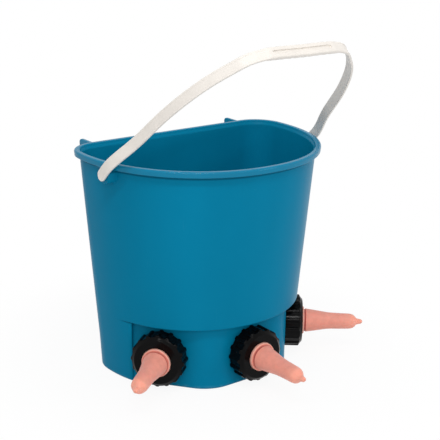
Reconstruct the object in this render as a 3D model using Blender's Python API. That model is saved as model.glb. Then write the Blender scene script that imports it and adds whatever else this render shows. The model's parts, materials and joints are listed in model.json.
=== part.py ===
"""Bucket feeder for young stock: a D-shaped pail with a bail handle, rail hooks and three screwed-on teats.

Metres, +Z up. The flat back faces +Y and the middle teat points along -Y. The origin lies on the underside,
at the centre that the rounded front is drawn from.
"""
import math

import bmesh
import bpy
from mathutils import Vector

MM = 0.001
GAP = 0.3 * MM                      # left between pieces that touch
ROUND_STEPS = 22

# Pail
PAIL_HEIGHT = 271 * MM
MOUTH_HALF_WIDTH = 143.6 * MM       # inner edge of the mouth
MOUTH_FRONT = 148.4 * MM
MOUTH_BACK = 150.6 * MM             # the curve that the flat back cuts off
BACK_FLAT = 43.5 * MM
BACK_CORNER = 32 * MM
FRONT_POWER = 2.1                   # 2 is an ellipse, more is squarer
WALL_DRAFT = 0.076
BACK_DRAFT = 0.05
WALL = 2.8 * MM
WALL_PROUD = 1.0 * MM               # wall's outer face beyond the line of the mouth
FLOOR = 3.2 * MM
FOOT_ROUND = 4 * MM
LIP_OUT = 7 * MM
LIP_HEIGHT = 6.9 * MM
LIP_WALL = 2.0 * MM
LIP_ROUND = 1.8 * MM
MOUTH_ROUND = 1.5 * MM
FRONT_POINTS = 24                   # points on half of the rounded front
CORNER_POINTS = 6

# Flats that the teats are screwed to
SIDE_RECESS = 14.2 * MM             # depth under the ledge, at a side teat
FRONT_RECESS = 12.7 * MM
SIDE_ANGLE = math.radians(51.5)     # side teat's direction, from the middle one
SEAT_MARGIN = 2.7 * MM              # from a nut to the end of its flat
FOOT_MARGIN = 6.6 * MM              # from the ground to a nut
LEDGE_MARGIN = 6.8 * MM             # from a nut to the ledge
STEP_LEAD = 17 * MM                 # shallow run-out of the ledge behind that end
STEP_DEPTH = 1.5 * MM
SEAT_CORNER_POINTS = 7

# Bail lugs and bail
PIVOT_Y = -40 * MM
PIVOT_DROP = 14 * MM                # from the top of the pail
LUG_PROUD = 2.0 * MM                # lug's face beyond the lip
LUG_FRONT = 9.5 * MM
LUG_BACK = 12 * MM
LUG_DEPTH = 9.5 * MM
LUG_CORNER = 7 * MM
LUG_FLARE = 9 * MM                  # hollow curve up into the lip, behind the lug
LUG_PLATE = 3 * MM
LUG_POCKET_HALF = 6 * MM
LUG_HOLE = 3.4 * MM
STUD_RADIUS = 3.0 * MM
STUD_HEAD_RADIUS = 5.0 * MM
STUD_HEAD = 1.8 * MM
STRAP_WIDTH = 13.2 * MM
STRAP_THICK = 3.2 * MM
STRAP_EDGE = 0.8 * MM
STRAP_CLEARANCE = 1.0 * MM
BAIL_REACH = 210 * MM
BAIL_LEAN = math.radians(46)        # forward of upright, as it stands
LEG_STRAIGHT = 18 * MM
LEG_PULL = ((4, 34), (15.5, 65.5), (27.5, 116))   # how far in the leg leans, and at what height, in mm
SHOULDER = ((105.5, 52), (83, 22), (56, 1.8))   # half width, and drop below the grip, in mm
GRIP_HALF = 43 * MM
GRIP_WIDTH = 13.6 * MM
GRIP_THICK = 5.5 * MM
GRIP_BLEND = 9 * MM
GRIP_CHANNEL = 5 * MM
GRIP_CHANNEL_DEPTH = 1.3 * MM
FINGER_RIBS = 10                    # steps of the ribbed underside, on half of the grip
FINGER_RIB = 0.5 * MM

# Rail hooks
HOOK_INSET = 34.6 * MM              # from the mouth's widest point
HOOK_THICK = 4.5 * MM
HOOK_GAP = 17.5 * MM                # from the lip to the leg
HOOK_LEG = 9 * MM
HOOK_TIP = 5.5 * MM                 # width at the leg's tip
HOOK_ARM = 13 * MM
HOOK_DROP = 34 * MM
HOOK_TOP = 1.2 * MM                 # arm's top, below the top of the pail
HOOK_ROUND = 4 * MM

# Teat fittings, along each teat's axis from the outside of its flat
SPIGOT_RADIUS = 22 * MM
SPIGOT_FLANGE_WIDTH = 5.6 * MM
SPIGOT_FLANGE_THICK = 3 * MM
WASHER_THICK = 1.5 * MM
INLET_RADIUS = 4.5 * MM
BALL_RADIUS = 6.5 * MM
BALL_CLEARANCE = 0.7 * MM
BALL_TRAVEL = 3 * MM
SEAT_SLOPE = 1.1                    # rise over run of the ball's conical seat
CAGE_SEAT = 4.8 * MM                # cage beyond the ball's chamber
CAGE_THICK = 3 * MM
CAGE_HUB = 3.2 * MM
CAGE_BAR = 2.4 * MM
CAGE_BARS = 3
TEAT_FLANGE_PLAY = 1.0 * MM         # flange inside the nut's bore
TEAT_FLANGE_THICK = 3 * MM
TEAT_NECK = 17.2 * MM
TEAT_NECK_PROUD = 2.3 * MM
TEAT_NECK_EDGE = 0.5 * MM
TEAT_GROOVE = 13.9 * MM
TEAT_GROOVE_WIDTH = 1.8 * MM
TEAT_BASE = 14.9 * MM
TEAT_WAIST = 10.4 * MM
TEAT_END = 9.8 * MM
TEAT_LENGTH = 77.5 * MM             # out of the nut
TEAT_WAIST_AT = 34 * MM
TEAT_TIP = 9 * MM
TEAT_TIP_RADIUS = 3.9 * MM
TEAT_WALL = 2.6 * MM
NUT_WALL = 8.0 * MM
NUT_RIBS = 16
NUT_RIB = 1.9 * MM
NUT_RIB_WIDTH = 0.42                # share of a rib's pitch that is rib
NUT_TOP = 5.7 * MM
NUT_BEVEL = 2.6 * MM
NUT_OPENING_PLAY = 0.6 * MM
NUT_PLAY = 0.4 * MM                 # thread clearance

COLOURS = {
    "teal_plastic": ((0.003, 0.195, 0.350), 0.38),
    "cream_plastic": ((0.78, 0.68, 0.60), 0.45),
    "black_plastic": ((0.006, 0.006, 0.007), 0.20),
    "pink_rubber": ((0.83, 0.30, 0.22), 0.55),
    "grey_rubber": ((0.09, 0.09, 0.10), 0.70),
    "white_plastic": ((0.80, 0.80, 0.78), 0.35),
}


def arc(centre, radius, start, end, count):
    """Points on an arc in its own plane, with both ends, angles in degrees."""
    turns = [math.radians(start + (end - start) * i / (count - 1)) for i in range(count)]
    return [(centre[0] + radius * math.cos(t), centre[1] + radius * math.sin(t)) for t in turns]


def plan(height, offset):
    """D-shaped outline of the pail at a height, moved outwards from the line of the mouth."""
    sink = WALL_DRAFT * (PAIL_HEIGHT - height)
    width, front, back = MOUTH_HALF_WIDTH - sink, MOUTH_FRONT - sink, MOUTH_BACK - sink
    flat = BACK_FLAT - BACK_DRAFT * (PAIL_HEIGHT - height)

    def edge(turn):
        c, s = math.cos(turn), math.sin(turn)
        x = width * abs(c) ** (2 / FRONT_POWER)
        if s < 0:
            y = -front * abs(s) ** (2 / FRONT_POWER)
            nx = (x / width) ** (FRONT_POWER - 1) / width
            ny = -((-y / front) ** (FRONT_POWER - 1)) / front
        else:
            y = back * s
            nx, ny = (x / width) ** (FRONT_POWER - 1) / width, y / back ** 2
        size = math.hypot(nx, ny)
        return x, y, nx / size, ny / size

    low, high = 0.0, math.pi / 2
    for _ in range(40):
        middle = (low + high) / 2
        _, y, _, ny = edge(middle)
        low, high = (middle, high) if y - BACK_CORNER * ny < flat - BACK_CORNER else (low, middle)
    half = []
    for i in range(FRONT_POINTS):
        x, y, nx, ny = edge(-math.pi / 2 + (low + math.pi / 2) * i / (FRONT_POINTS - 1))
        half.append((x + offset * nx, y + offset * ny))
    x, y, nx, ny = edge(low)
    centre = (x - BACK_CORNER * nx, y - BACK_CORNER * ny)
    start = math.degrees(math.atan2(ny, nx))
    half += arc(centre, BACK_CORNER + offset, start, 90, CORNER_POINTS)[1:]
    half.append((0.0, flat + offset))
    mirrored = [(-x, y) for x, y in reversed(half[1:-1])]
    return [(x, y, height) for x, y in half + mirrored]


def plan_radius(height, offset, angle, aside=0.0):
    """Distance out to the pail's outline, in a direction given from the front and on a line set aside."""
    out = Vector((math.sin(angle), -math.cos(angle)))
    points = [Vector(point[:2]) for point in plan(height, offset)]
    for a, b in zip(points, points[1:] + points[:1]):
        side_a, side_b = out.cross(a) - aside, out.cross(b) - aside
        if side_a <= 0 < side_b and a.dot(out) > 0:
            return a.lerp(b, side_a / (side_a - side_b)).dot(out)
    raise ValueError("no outline in that direction")


def plan_half_width(height, offset, y):
    """Half width of the pail's outline at a given Y."""
    points = plan(height, offset)
    for a, b in zip(points, points[1:]):
        if a[1] <= y <= b[1]:
            return a[0] + (b[0] - a[0]) * (y - a[1]) / (b[1] - a[1])
    raise ValueError("no outline at that place")


PIVOT_Z = PAIL_HEIGHT - PIVOT_DROP
LUG_FACE = plan_half_width(PAIL_HEIGHT, LIP_OUT, PIVOT_Y) + LUG_PROUD
STRAP_X = LUG_FACE + STRAP_CLEARANCE + STRAP_THICK / 2
HOOK_X = MOUTH_HALF_WIDTH - HOOK_INSET

WALL_HOLE = SPIGOT_RADIUS + NUT_PLAY
SPIGOT_FLANGE = WALL_HOLE + SPIGOT_FLANGE_WIDTH
FLANGE_FACE = -WALL - WASHER_THICK - 2 * GAP
CHAMBER = BALL_RADIUS + BALL_CLEARANCE
CAGE_RADIUS = CHAMBER + CAGE_SEAT
CONE_FOOT = FLANGE_FACE - GAP
CONE_TOP = CONE_FOOT + (CHAMBER - INLET_RADIUS) * SEAT_SLOPE
# The ball's middle, where it lies a gap away from its conical seat
BALL_MIDDLE = (CONE_TOP - CHAMBER * SEAT_SLOPE + (BALL_RADIUS + GAP) * math.hypot(1, SEAT_SLOPE))
SPIGOT_STAND = BALL_MIDDLE + BALL_RADIUS + BALL_TRAVEL + GAP + CAGE_THICK
NUT_BORE = SPIGOT_RADIUS + NUT_PLAY
NUT_RADIUS = NUT_BORE + NUT_WALL
NUT_OUTER = NUT_RADIUS + NUT_RIB
NUT_OPENING = TEAT_NECK + NUT_OPENING_PLAY
NUT_SHOULDER = SPIGOT_STAND + TEAT_FLANGE_THICK + 2 * GAP
NUT_FACE = NUT_SHOULDER + NUT_TOP
TEAT_FLANGE = NUT_BORE - TEAT_FLANGE_PLAY

TEAT_HEIGHT = FOOT_MARGIN + NUT_OUTER
LEDGE_HEIGHT = TEAT_HEIGHT + NUT_OUTER + LEDGE_MARGIN
SIDE_SEAT = plan_radius(LEDGE_HEIGHT, WALL_PROUD, SIDE_ANGLE) - SIDE_RECESS
FRONT_SEAT = plan_radius(LEDGE_HEIGHT, WALL_PROUD, 0) - FRONT_RECESS
SEAT_END = NUT_OUTER + SEAT_MARGIN
# From a teat's axis to the line where its flat would meet the next one
FRONT_MEET = (SIDE_SEAT - FRONT_SEAT * math.cos(SIDE_ANGLE)) / math.sin(SIDE_ANGLE)
SIDE_MEET = (FRONT_SEAT - SIDE_SEAT * math.cos(SIDE_ANGLE)) / math.sin(SIDE_ANGLE)
SEAT_BEND = min(FRONT_MEET, SIDE_MEET) - NUT_OUTER
SEAT_CORNER = SEAT_BEND / math.tan(SIDE_ANGLE / 2)
STATIONS = (("left", -SIDE_ANGLE, SIDE_SEAT), ("front", 0.0, FRONT_SEAT), ("right", SIDE_ANGLE, SIDE_SEAT))


def clear_scene():
    for thing in list(bpy.data.objects):
        bpy.data.objects.remove(thing, do_unlink=True)


def material(name):
    """Return the named finish, made once."""
    made = bpy.data.materials.get(name)
    if made:
        return made
    colour, roughness = COLOURS[name]
    made = bpy.data.materials.new(name)
    made.use_nodes = True
    shader = made.node_tree.nodes["Principled BSDF"]
    shader.inputs["Base Color"].default_value = (*colour, 1.0)
    shader.inputs["Roughness"].default_value = roughness
    shader.inputs["Metallic"].default_value = 0.0
    return made


def add_object(name, shape, finish=None, smooth=True):
    """Put a bmesh into the scene as an object, its faces turned outwards."""
    bmesh.ops.remove_doubles(shape, verts=shape.verts, dist=1e-7)
    bmesh.ops.recalc_face_normals(shape, faces=shape.faces)
    mesh = bpy.data.meshes.new(name)
    shape.to_mesh(mesh)
    shape.free()
    if smooth:
        mesh.shade_smooth()
        mesh.set_sharp_from_angle(angle=math.radians(35))
    if finish:
        mesh.materials.append(material(finish))
    made = bpy.data.objects.new(name, mesh)
    bpy.context.scene.collection.objects.link(made)
    return made


def as_tool(made):
    made.hide_render = True
    made.display_type = "WIRE"
    return made


def combine(target, tool, operation):
    step = target.modifiers.new(tool.name, "BOOLEAN")
    step.operation = operation
    step.solver = "EXACT"
    step.object = tool


def loft(name, rings, finish=None):
    """Skin a closed body over rings that have equally many points, and cap both ends."""
    shape = bmesh.new()
    loops = [[shape.verts.new(point) for point in ring] for ring in rings]
    for low, high in zip(loops, loops[1:]):
        for i, here in enumerate(low):
            j = (i + 1) % len(low)
            shape.faces.new((here, low[j], high[j], high[i]))
    shape.faces.new(reversed(loops[0]))
    shape.faces.new(loops[-1])
    return add_object(name, shape, finish)


def extrusion(name, outline, start, end, finish=None):
    """Extrude a YZ outline along X."""
    return loft(name, [[(x, y, z) for y, z in outline] for x in (start, end)], finish)


def turned(name, profile, segments, finish=None, closed=True):
    """Turn a (radius, height) profile round Z; an open one starts and ends on the axis."""
    shape = bmesh.new()
    points = [shape.verts.new((radius, 0, height)) for radius, height in profile]
    chain = list(zip(points, points[1:]))
    if closed:
        chain.append((points[-1], points[0]))
    edges = [shape.edges.new(pair) for pair in chain]
    bmesh.ops.spin(shape, geom=points + edges, cent=(0, 0, 0), axis=(0, 0, 1), angle=math.tau,
                   steps=segments, use_merge=True, use_duplicate=False)
    return add_object(name, shape, finish)


def stand_at(made, station):
    """Turn a body built along +Z to point out of its flat, at its teat's place."""
    _, angle, seat = station
    made.location = (seat * math.sin(angle), -seat * math.cos(angle), TEAT_HEIGHT)
    made.rotation_euler = (math.pi / 2, 0, angle)
    return made


def seat_outline(height, offset, end, reach):
    """C-shaped outline round the front: along the three flats inside, and well clear of the pail outside."""
    corner = (FRONT_MEET - SEAT_BEND, SEAT_CORNER - FRONT_SEAT)
    inner = arc(corner, SEAT_CORNER + offset, -90, math.degrees(SIDE_ANGLE) - 90, SEAT_CORNER_POINTS)
    out = Vector((math.sin(SIDE_ANGLE), -math.cos(SIDE_ANGLE)))
    along = Vector((math.cos(SIDE_ANGLE), math.sin(SIDE_ANGLE)))
    inner.append(tuple(out * (SIDE_SEAT + offset) + along * end))
    for at, depth in ((end, STEP_DEPTH), (end + STEP_LEAD, -GAP)):
        wall = plan_radius(LEDGE_HEIGHT, WALL_PROUD + offset, SIDE_ANGLE, at)
        inner.append(tuple(out * (wall - depth) + along * at))
    inner.append(tuple(out * reach + along * (end + STEP_LEAD)))
    inner.append((reach * 1.2, -reach))
    inner.append((0.0, -reach))
    mirrored = [(-x, y) for x, y in reversed(inner[:-1])]
    return [(x, y, height) for x, y in inner + mirrored]


def seat_cutter(name, offset, end, top):
    """Body that cuts the recess of the three flats, with a rounded foot."""
    reach = MOUTH_FRONT * 1.25
    rings = [seat_outline(-FLOOR, offset - FOOT_ROUND, end, reach)]
    for lift, inward in arc((FOOT_ROUND, -FOOT_ROUND), FOOT_ROUND, 180, 90, 4):
        rings.append(seat_outline(lift, offset + inward, end, reach))
    rings.append(seat_outline(top, offset, end, reach))
    return as_tool(loft(name, rings))


def pail_body():
    """Outside of the pail, up to the hollow turned-down lip."""
    top = PAIL_HEIGHT
    rings = [plan(lift, WALL_PROUD + inward)
             for lift, inward in arc((FOOT_ROUND, -FOOT_ROUND), FOOT_ROUND, 180, 90, 4)]
    under = top - LIP_ROUND - LIP_WALL
    rings.append(plan(LEDGE_HEIGHT, WALL_PROUD))
    rings.append(plan(under, WALL_PROUD))
    rings.append(plan(under, LIP_OUT - LIP_WALL))
    rings.append(plan(top - LIP_HEIGHT, LIP_OUT - LIP_WALL))
    rings.append(plan(top - LIP_HEIGHT, LIP_OUT))
    rings += [plan(z, offset) for offset, z in
              arc((LIP_OUT - LIP_ROUND, top - LIP_ROUND), LIP_ROUND, 0, 90, 4)]
    rings.append(plan(top, -WALL))
    return loft("bucket_shell", rings, "teal_plastic")


def cavity():
    """Inside of the pail, opened a little at the mouth."""
    inside = WALL_PROUD - WALL
    top = PAIL_HEIGHT
    rings = [plan(FLOOR, inside - FOOT_ROUND / 2), plan(FLOOR + FOOT_ROUND / 2, inside)]
    rings.append(plan(LEDGE_HEIGHT, inside))
    rings.append(plan(top - 4 * MOUTH_ROUND, inside))
    rings += [plan(z, offset) for offset, z in
              arc((MOUTH_ROUND, top - MOUTH_ROUND), MOUTH_ROUND, 180, 90, 4)]
    rings.append(plan(top + LIP_HEIGHT, MOUTH_ROUND))
    return as_tool(loft("cavity", rings))


def lug(side):
    """Lug under the lip that a stud of the bail snaps into."""
    under = PAIL_HEIGHT - LIP_HEIGHT
    top = under + LIP_WALL / 2
    front, back, bottom = PIVOT_Y - LUG_FRONT, PIVOT_Y + LUG_BACK, PIVOT_Z - LUG_DEPTH
    flare = min(LUG_FLARE, under - bottom - LUG_CORNER)
    outline = [(back + flare, top), (front, top)]
    outline += arc((front + LUG_CORNER, bottom + LUG_CORNER), LUG_CORNER, 180, 270, 6)
    outline += arc((back - LUG_CORNER, bottom + LUG_CORNER), LUG_CORNER, 270, 360, 6)
    outline += arc((back + flare, under + GAP - flare), flare, 180, 90, 5)
    inner = MOUTH_HALF_WIDTH - LIP_OUT * 2.5
    return as_tool(extrusion("lug_" + side[0], outline, side[1] * inner, side[1] * LUG_FACE))


def lug_pocket(side):
    """Space behind the lug's plate, open below, for the stud's head."""
    low, high = PIVOT_Z - 2 * LUG_DEPTH, PIVOT_Z + LUG_POCKET_HALF
    front, back = PIVOT_Y - LUG_POCKET_HALF, PIVOT_Y + LUG_POCKET_HALF
    outline = [(front, low), (back, low), (back, high - LIP_WALL), (back - LIP_WALL, high),
               (front + LIP_WALL, high), (front, high - LIP_WALL)]
    wall = plan_half_width(PAIL_HEIGHT, WALL_PROUD, back)
    face = LUG_FACE - LUG_PLATE
    return as_tool(extrusion("lug_pocket_" + side[0], outline, side[1] * wall, side[1] * face))


def lug_hole(side):
    outline = arc((PIVOT_Y, PIVOT_Z), LUG_HOLE, 0, 360 - 360 / 16, 16)
    start, end = LUG_FACE - 1.5 * LUG_PLATE, LUG_FACE + LUG_PLATE
    return as_tool(extrusion("lug_hole_" + side[0], outline, side[1] * start, side[1] * end))


def hook(side):
    """Flat hook that hangs the pail on a rail."""
    top = PAIL_HEIGHT - HOOK_TOP
    inner = BACK_FLAT + LIP_OUT + HOOK_GAP
    outer = inner + HOOK_LEG
    tip, bottom = inner + HOOK_TIP, top - HOOK_DROP
    small = HOOK_TIP * 0.4
    root = BACK_FLAT - BACK_CORNER / 4
    outline = [(root, top), (outer - HOOK_ROUND, top)]
    outline += arc((outer - HOOK_ROUND, top - HOOK_ROUND), HOOK_ROUND, 90, 0, 4)[1:]
    outline += arc((tip - small, bottom + small), small, 0, -90, 4)
    outline += arc((inner + small, bottom + small), small, 270, 180, 4)
    outline += arc((inner - HOOK_ROUND, top - HOOK_ARM - HOOK_ROUND), HOOK_ROUND, 0, 90, 4)
    outline += [(BACK_FLAT + LIP_OUT, top - HOOK_ARM), (root, top - HOOK_ARM - LIP_OUT)]
    middle = side[1] * HOOK_X
    return as_tool(extrusion("hook_" + side[0], outline, middle - HOOK_THICK / 2, middle + HOOK_THICK / 2))


def spigot_hole(station):
    profile = [(0, -WALL * 4), (WALL_HOLE, -WALL * 4), (WALL_HOLE, WALL * 2), (0, WALL * 2)]
    made = turned("spigot_hole_" + station[0], profile, ROUND_STEPS, closed=False)
    return as_tool(stand_at(made, station))


def bucket_shell():
    """Pail with its recessed flats, lugs, hooks and holes."""
    shell = pail_body()
    combine(shell, seat_cutter("seat_recess", 0.0, SEAT_END, LEDGE_HEIGHT), "DIFFERENCE")
    sides = (("left", -1), ("right", 1))
    for side in sides:
        combine(shell, lug(side), "UNION")
        combine(shell, hook(side), "UNION")
    hollow = cavity()
    combine(hollow, seat_cutter("seat_recess_inside", -WALL, SEAT_END + WALL, LEDGE_HEIGHT + WALL), "DIFFERENCE")
    combine(shell, hollow, "DIFFERENCE")
    for side in sides:
        combine(shell, lug_pocket(side), "DIFFERENCE")
        combine(shell, lug_hole(side), "DIFFERENCE")
    for station in STATIONS:
        combine(shell, spigot_hole(station), "DIFFERENCE")
    return shell


def through(points, steps):
    """Smooth curve through the points, with steps between each two."""
    padded = [points[0] * 2 - points[1]] + points + [points[-1] * 2 - points[-2]]
    curve = []
    for a, b, c, d in zip(padded, padded[1:], padded[2:], padded[3:]):
        for i in range(steps):
            t = i / steps
            curve.append(0.5 * (2 * b + (c - a) * t + (2 * a - 5 * b + 4 * c - d) * t * t
                                + (3 * b - a - 3 * c + d) * t ** 3))
    return curve + [points[-1]]


def bail_line():
    """Middle line of half the bail, from its end past the pivot up to the middle of the grip."""
    points = [Vector((STRAP_X, 0.0)), Vector((STRAP_X, LEG_STRAIGHT))]
    points += [Vector((STRAP_X - lean * MM, height * MM)) for lean, height in LEG_PULL]
    points += [Vector((half * MM, BAIL_REACH - drop * MM)) for half, drop in SHOULDER]
    mirror = Vector((-points[-1].x, points[-1].y))
    points += [Vector((0.0, BAIL_REACH)), mirror]
    curve = through(points, 4)
    ends = [Vector((STRAP_X, z)) for _, z in arc((0.0, 0.0), STRAP_WIDTH / 2, -90, -10, 5)]
    grip = [GRIP_HALF + GRIP_BLEND, GRIP_HALF + GRIP_BLEND / 2]
    grip += [GRIP_HALF * (1 - i / FINGER_RIBS) for i in range(FINGER_RIBS + 1)]
    legs = [point for point in curve if point.x > grip[0] + STRAP_THICK]
    return ends + legs + [Vector((x, curve_height(curve, x))) for x in grip]


def curve_height(curve, x):
    """Height of the bail's line over a place along the grip."""
    for a, b in zip(curve, curve[1:]):
        if b.x <= x <= a.x:
            return a.y + (b.y - a.y) * (a.x - x) / (a.x - b.x)
    raise ValueError("the line does not reach that place")


def bail_section(point, tangent, half_width, half_thick, channel, rib):
    """Ring of the strap's section round a point: chamfered edges, a channel outside and ribs inside."""
    outward = Vector((tangent.y, 0.0, -tangent.x))
    edge = min(STRAP_EDGE, half_width / 2, half_thick / 2)
    slot = min(GRIP_CHANNEL / 2, half_width / 2)
    across = [(-half_width, -half_thick + edge), (-half_width + edge, -half_thick - rib),
              (half_width - edge, -half_thick - rib), (half_width, -half_thick + edge),
              (half_width, half_thick - edge), (half_width - edge, half_thick),
              (slot, half_thick), (slot * 0.8, half_thick - channel),
              (-slot * 0.8, half_thick - channel), (-slot, half_thick),
              (-half_width + edge, half_thick), (-half_width, half_thick - edge)]
    middle = Vector((point.x, 0.0, point.y))
    return [middle + Vector((0, y, 0)) + outward * out for y, out in across]


def handle():
    """Moulded bail: a flat strap that swells into a channelled grip, with a snap stud at each end."""
    half = bail_line()
    line = half + [Vector((-point.x, point.y)) for point in reversed(half[:-1])]
    rings = []
    for i, point in enumerate(line):
        before, after = line[max(i - 1, 0)], line[min(i + 1, len(line) - 1)]
        tangent = (after - before).normalized()
        blend = min(max((GRIP_HALF + GRIP_BLEND - abs(point.x)) / GRIP_BLEND, 0.0), 1.0)
        half_width = STRAP_WIDTH / 2 + blend * (GRIP_WIDTH - STRAP_WIDTH) / 2
        half_thick = STRAP_THICK / 2 + blend * (GRIP_THICK - STRAP_THICK) / 2
        if point.y < 0:
            half_width = max(math.sqrt(max((STRAP_WIDTH / 2) ** 2 - point.y ** 2, 0)), 2 * STRAP_EDGE)
        rib = FINGER_RIB if blend == 1 and i % 2 else 0.0
        sunk = min(max((GRIP_HALF - abs(point.x)) * FINGER_RIBS / GRIP_HALF, 0.0), 1.0)
        rings.append(bail_section(point, tangent, half_width, half_thick, sunk * GRIP_CHANNEL_DEPTH, rib))
    bail = loft("handle", rings, "cream_plastic")
    for side in (("left", -1), ("right", 1)):
        combine(bail, stud(side), "UNION")
    bail.location = (0, PIVOT_Y, PIVOT_Z)
    bail.rotation_euler = (BAIL_LEAN, 0, 0)
    return bail


def stud(side):
    """Stud that snaps through a lug, headed behind the lug's plate."""
    inside = LUG_FACE - LUG_PLATE - GAP
    profile = [(0, STRAP_X), (STUD_RADIUS, STRAP_X), (STUD_RADIUS, inside), (STUD_HEAD_RADIUS, inside),
               (STUD_HEAD_RADIUS, inside - STUD_HEAD / 3), (STUD_RADIUS, inside - STUD_HEAD), (0, inside - STUD_HEAD)]
    made = turned("stud_" + side[0], profile, 14, closed=False)
    made.rotation_euler = (0, side[1] * math.pi / 2, 0)
    made.location = (0, PIVOT_Y, PIVOT_Z)
    return as_tool(made)


def spigot(station):
    """Flanged, externally threaded body that holds the ball valve and passes through the wall."""
    back = FLANGE_FACE - SPIGOT_FLANGE_THICK
    pocket = SPIGOT_STAND - CAGE_THICK - GAP
    profile = [(INLET_RADIUS, back), (SPIGOT_FLANGE, back), (SPIGOT_FLANGE, FLANGE_FACE),
               (SPIGOT_RADIUS, FLANGE_FACE), (SPIGOT_RADIUS, SPIGOT_STAND),
               (CAGE_RADIUS + GAP, SPIGOT_STAND), (CAGE_RADIUS + GAP, pocket), (CHAMBER, pocket),
               (CHAMBER, CONE_TOP), (INLET_RADIUS, CONE_FOOT)]
    return stand_at(turned("spigot_" + station[0], profile, ROUND_STEPS, "black_plastic"), station)


def valve_ball(station):
    profile = arc((0, BALL_MIDDLE), BALL_RADIUS, -90, 90, 8)
    profile[0], profile[-1] = (0.0, BALL_MIDDLE - BALL_RADIUS), (0.0, BALL_MIDDLE + BALL_RADIUS)
    return stand_at(turned("valve_ball_" + station[0], profile, 14, "white_plastic", closed=False), station)


def valve_cage(station):
    """Ring with bars and a hub that keeps the ball in and lets milk pass."""
    low, high = SPIGOT_STAND - CAGE_THICK, SPIGOT_STAND
    inner = CAGE_RADIUS - CAGE_BAR
    ring = [(inner, low), (CAGE_RADIUS, low), (CAGE_RADIUS, high), (inner, high)]
    cage = turned("valve_cage_" + station[0], ring, ROUND_STEPS, "white_plastic")
    hub = turned("cage_hub_" + station[0], [(0, low), (CAGE_HUB, low), (CAGE_HUB, high), (0, high)], 12,
                 closed=False)
    combine(cage, stand_at(as_tool(hub), station), "UNION")
    for i in range(CAGE_BARS):
        turn = math.tau * i / CAGE_BARS + math.pi / 2
        along, aside = Vector((math.cos(turn), math.sin(turn))), Vector((-math.sin(turn), math.cos(turn)))
        ends = ((CAGE_HUB / 2, -1), (inner + CAGE_BAR / 3, -1), (inner + CAGE_BAR / 3, 1), (CAGE_HUB / 2, 1))
        flat = [along * reach + aside * (CAGE_BAR / 2 * sign) for reach, sign in ends]
        levels = (low + GAP, high - GAP)
        bar = loft(f"cage_bar_{station[0]}_{i}", [[(p.x, p.y, z) for p in flat] for z in levels])
        combine(cage, stand_at(as_tool(bar), station), "UNION")
    return stand_at(cage, station)


def washer(station):
    low, high = FLANGE_FACE + GAP, -WALL - GAP
    profile = [(WALL_HOLE, low), (SPIGOT_FLANGE, low), (SPIGOT_FLANGE, high), (WALL_HOLE, high)]
    return stand_at(turned("washer_" + station[0], profile, ROUND_STEPS, "grey_rubber"), station)


def teat_radius(along):
    """Radius of the teat's barrel at a distance out of the nut."""
    dome = TEAT_LENGTH - TEAT_TIP
    if along < TEAT_WAIST_AT:
        share = along / TEAT_WAIST_AT
        ease = 0.5 + 0.5 * math.cos(math.pi * share ** 0.9)
        return TEAT_WAIST + (TEAT_BASE - TEAT_WAIST) * ease
    return TEAT_WAIST + (TEAT_END - TEAT_WAIST) * (along - TEAT_WAIST_AT) / (dome - TEAT_WAIST_AT)


def teat(station):
    """Hollow rubber teat: clamped flange, neck through the nut, waisted barrel and a pointed tip."""
    seat = SPIGOT_STAND + GAP
    flange_top = seat + TEAT_FLANGE_THICK
    groove = TEAT_NECK_PROUD + TEAT_GROOVE_WIDTH
    dome = TEAT_LENGTH - TEAT_TIP
    dome_start = dome - 0.6 * TEAT_END
    outer = [(TEAT_FLANGE, seat), (TEAT_FLANGE, flange_top), (TEAT_NECK, flange_top + GAP),
             (TEAT_NECK, NUT_FACE + TEAT_NECK_PROUD - TEAT_NECK_EDGE),
             (TEAT_NECK - TEAT_NECK_EDGE, NUT_FACE + TEAT_NECK_PROUD),
             (TEAT_GROOVE, NUT_FACE + TEAT_NECK_PROUD + TEAT_GROOVE_WIDTH / 3),
             (TEAT_GROOVE, NUT_FACE + groove - TEAT_GROOVE_WIDTH / 3), (TEAT_BASE, NUT_FACE + groove)]
    mouth = TEAT_GROOVE - TEAT_WALL
    steps = 6
    for i in range(1, steps + 1):
        along = groove + (dome_start - groove) * (i / steps)
        outer.append((teat_radius(along), NUT_FACE + along))
    last = outer[-1][0]
    for i in range(1, 4):
        turn = math.pi / 2 * i / 3.4
        radius = TEAT_TIP_RADIUS + (last - TEAT_TIP_RADIUS) * math.cos(turn)
        outer.append((radius, NUT_FACE + dome_start + (dome - dome_start) * math.sin(turn)))
    outer += [(TEAT_TIP_RADIUS * 0.8, NUT_FACE + dome + TEAT_TIP * 0.25),
              (TEAT_TIP_RADIUS * 0.5, NUT_FACE + dome + TEAT_TIP * 0.75), (0.0, NUT_FACE + TEAT_LENGTH)]
    inner = [(0.0, NUT_FACE + dome - TEAT_WALL), (TEAT_END - 2 * TEAT_WALL, NUT_FACE + dome - TEAT_WALL * 1.3),
             (TEAT_END - TEAT_WALL, NUT_FACE + dome_start - TEAT_WALL),
             (TEAT_WAIST - TEAT_WALL, NUT_FACE + TEAT_WAIST_AT), (mouth, NUT_FACE), (mouth, seat)]
    return stand_at(turned("teat_" + station[0], outer + inner, 24, "pink_rubber"), station)


def nut_ring(height, radius, rib):
    """Ring of points round the nut, standing out by rib at each of its ribs."""
    ring = []
    pitch = math.tau / NUT_RIBS
    for i in range(NUT_RIBS):
        middle = pitch * i
        half = pitch * NUT_RIB_WIDTH / 2
        for turn, out in ((-half, 0), (-half * 0.7, rib), (half * 0.7, rib), (half, 0)):
            ring.append(((radius + out) * math.cos(middle + turn), (radius + out) * math.sin(middle + turn), height))
    return ring


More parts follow.
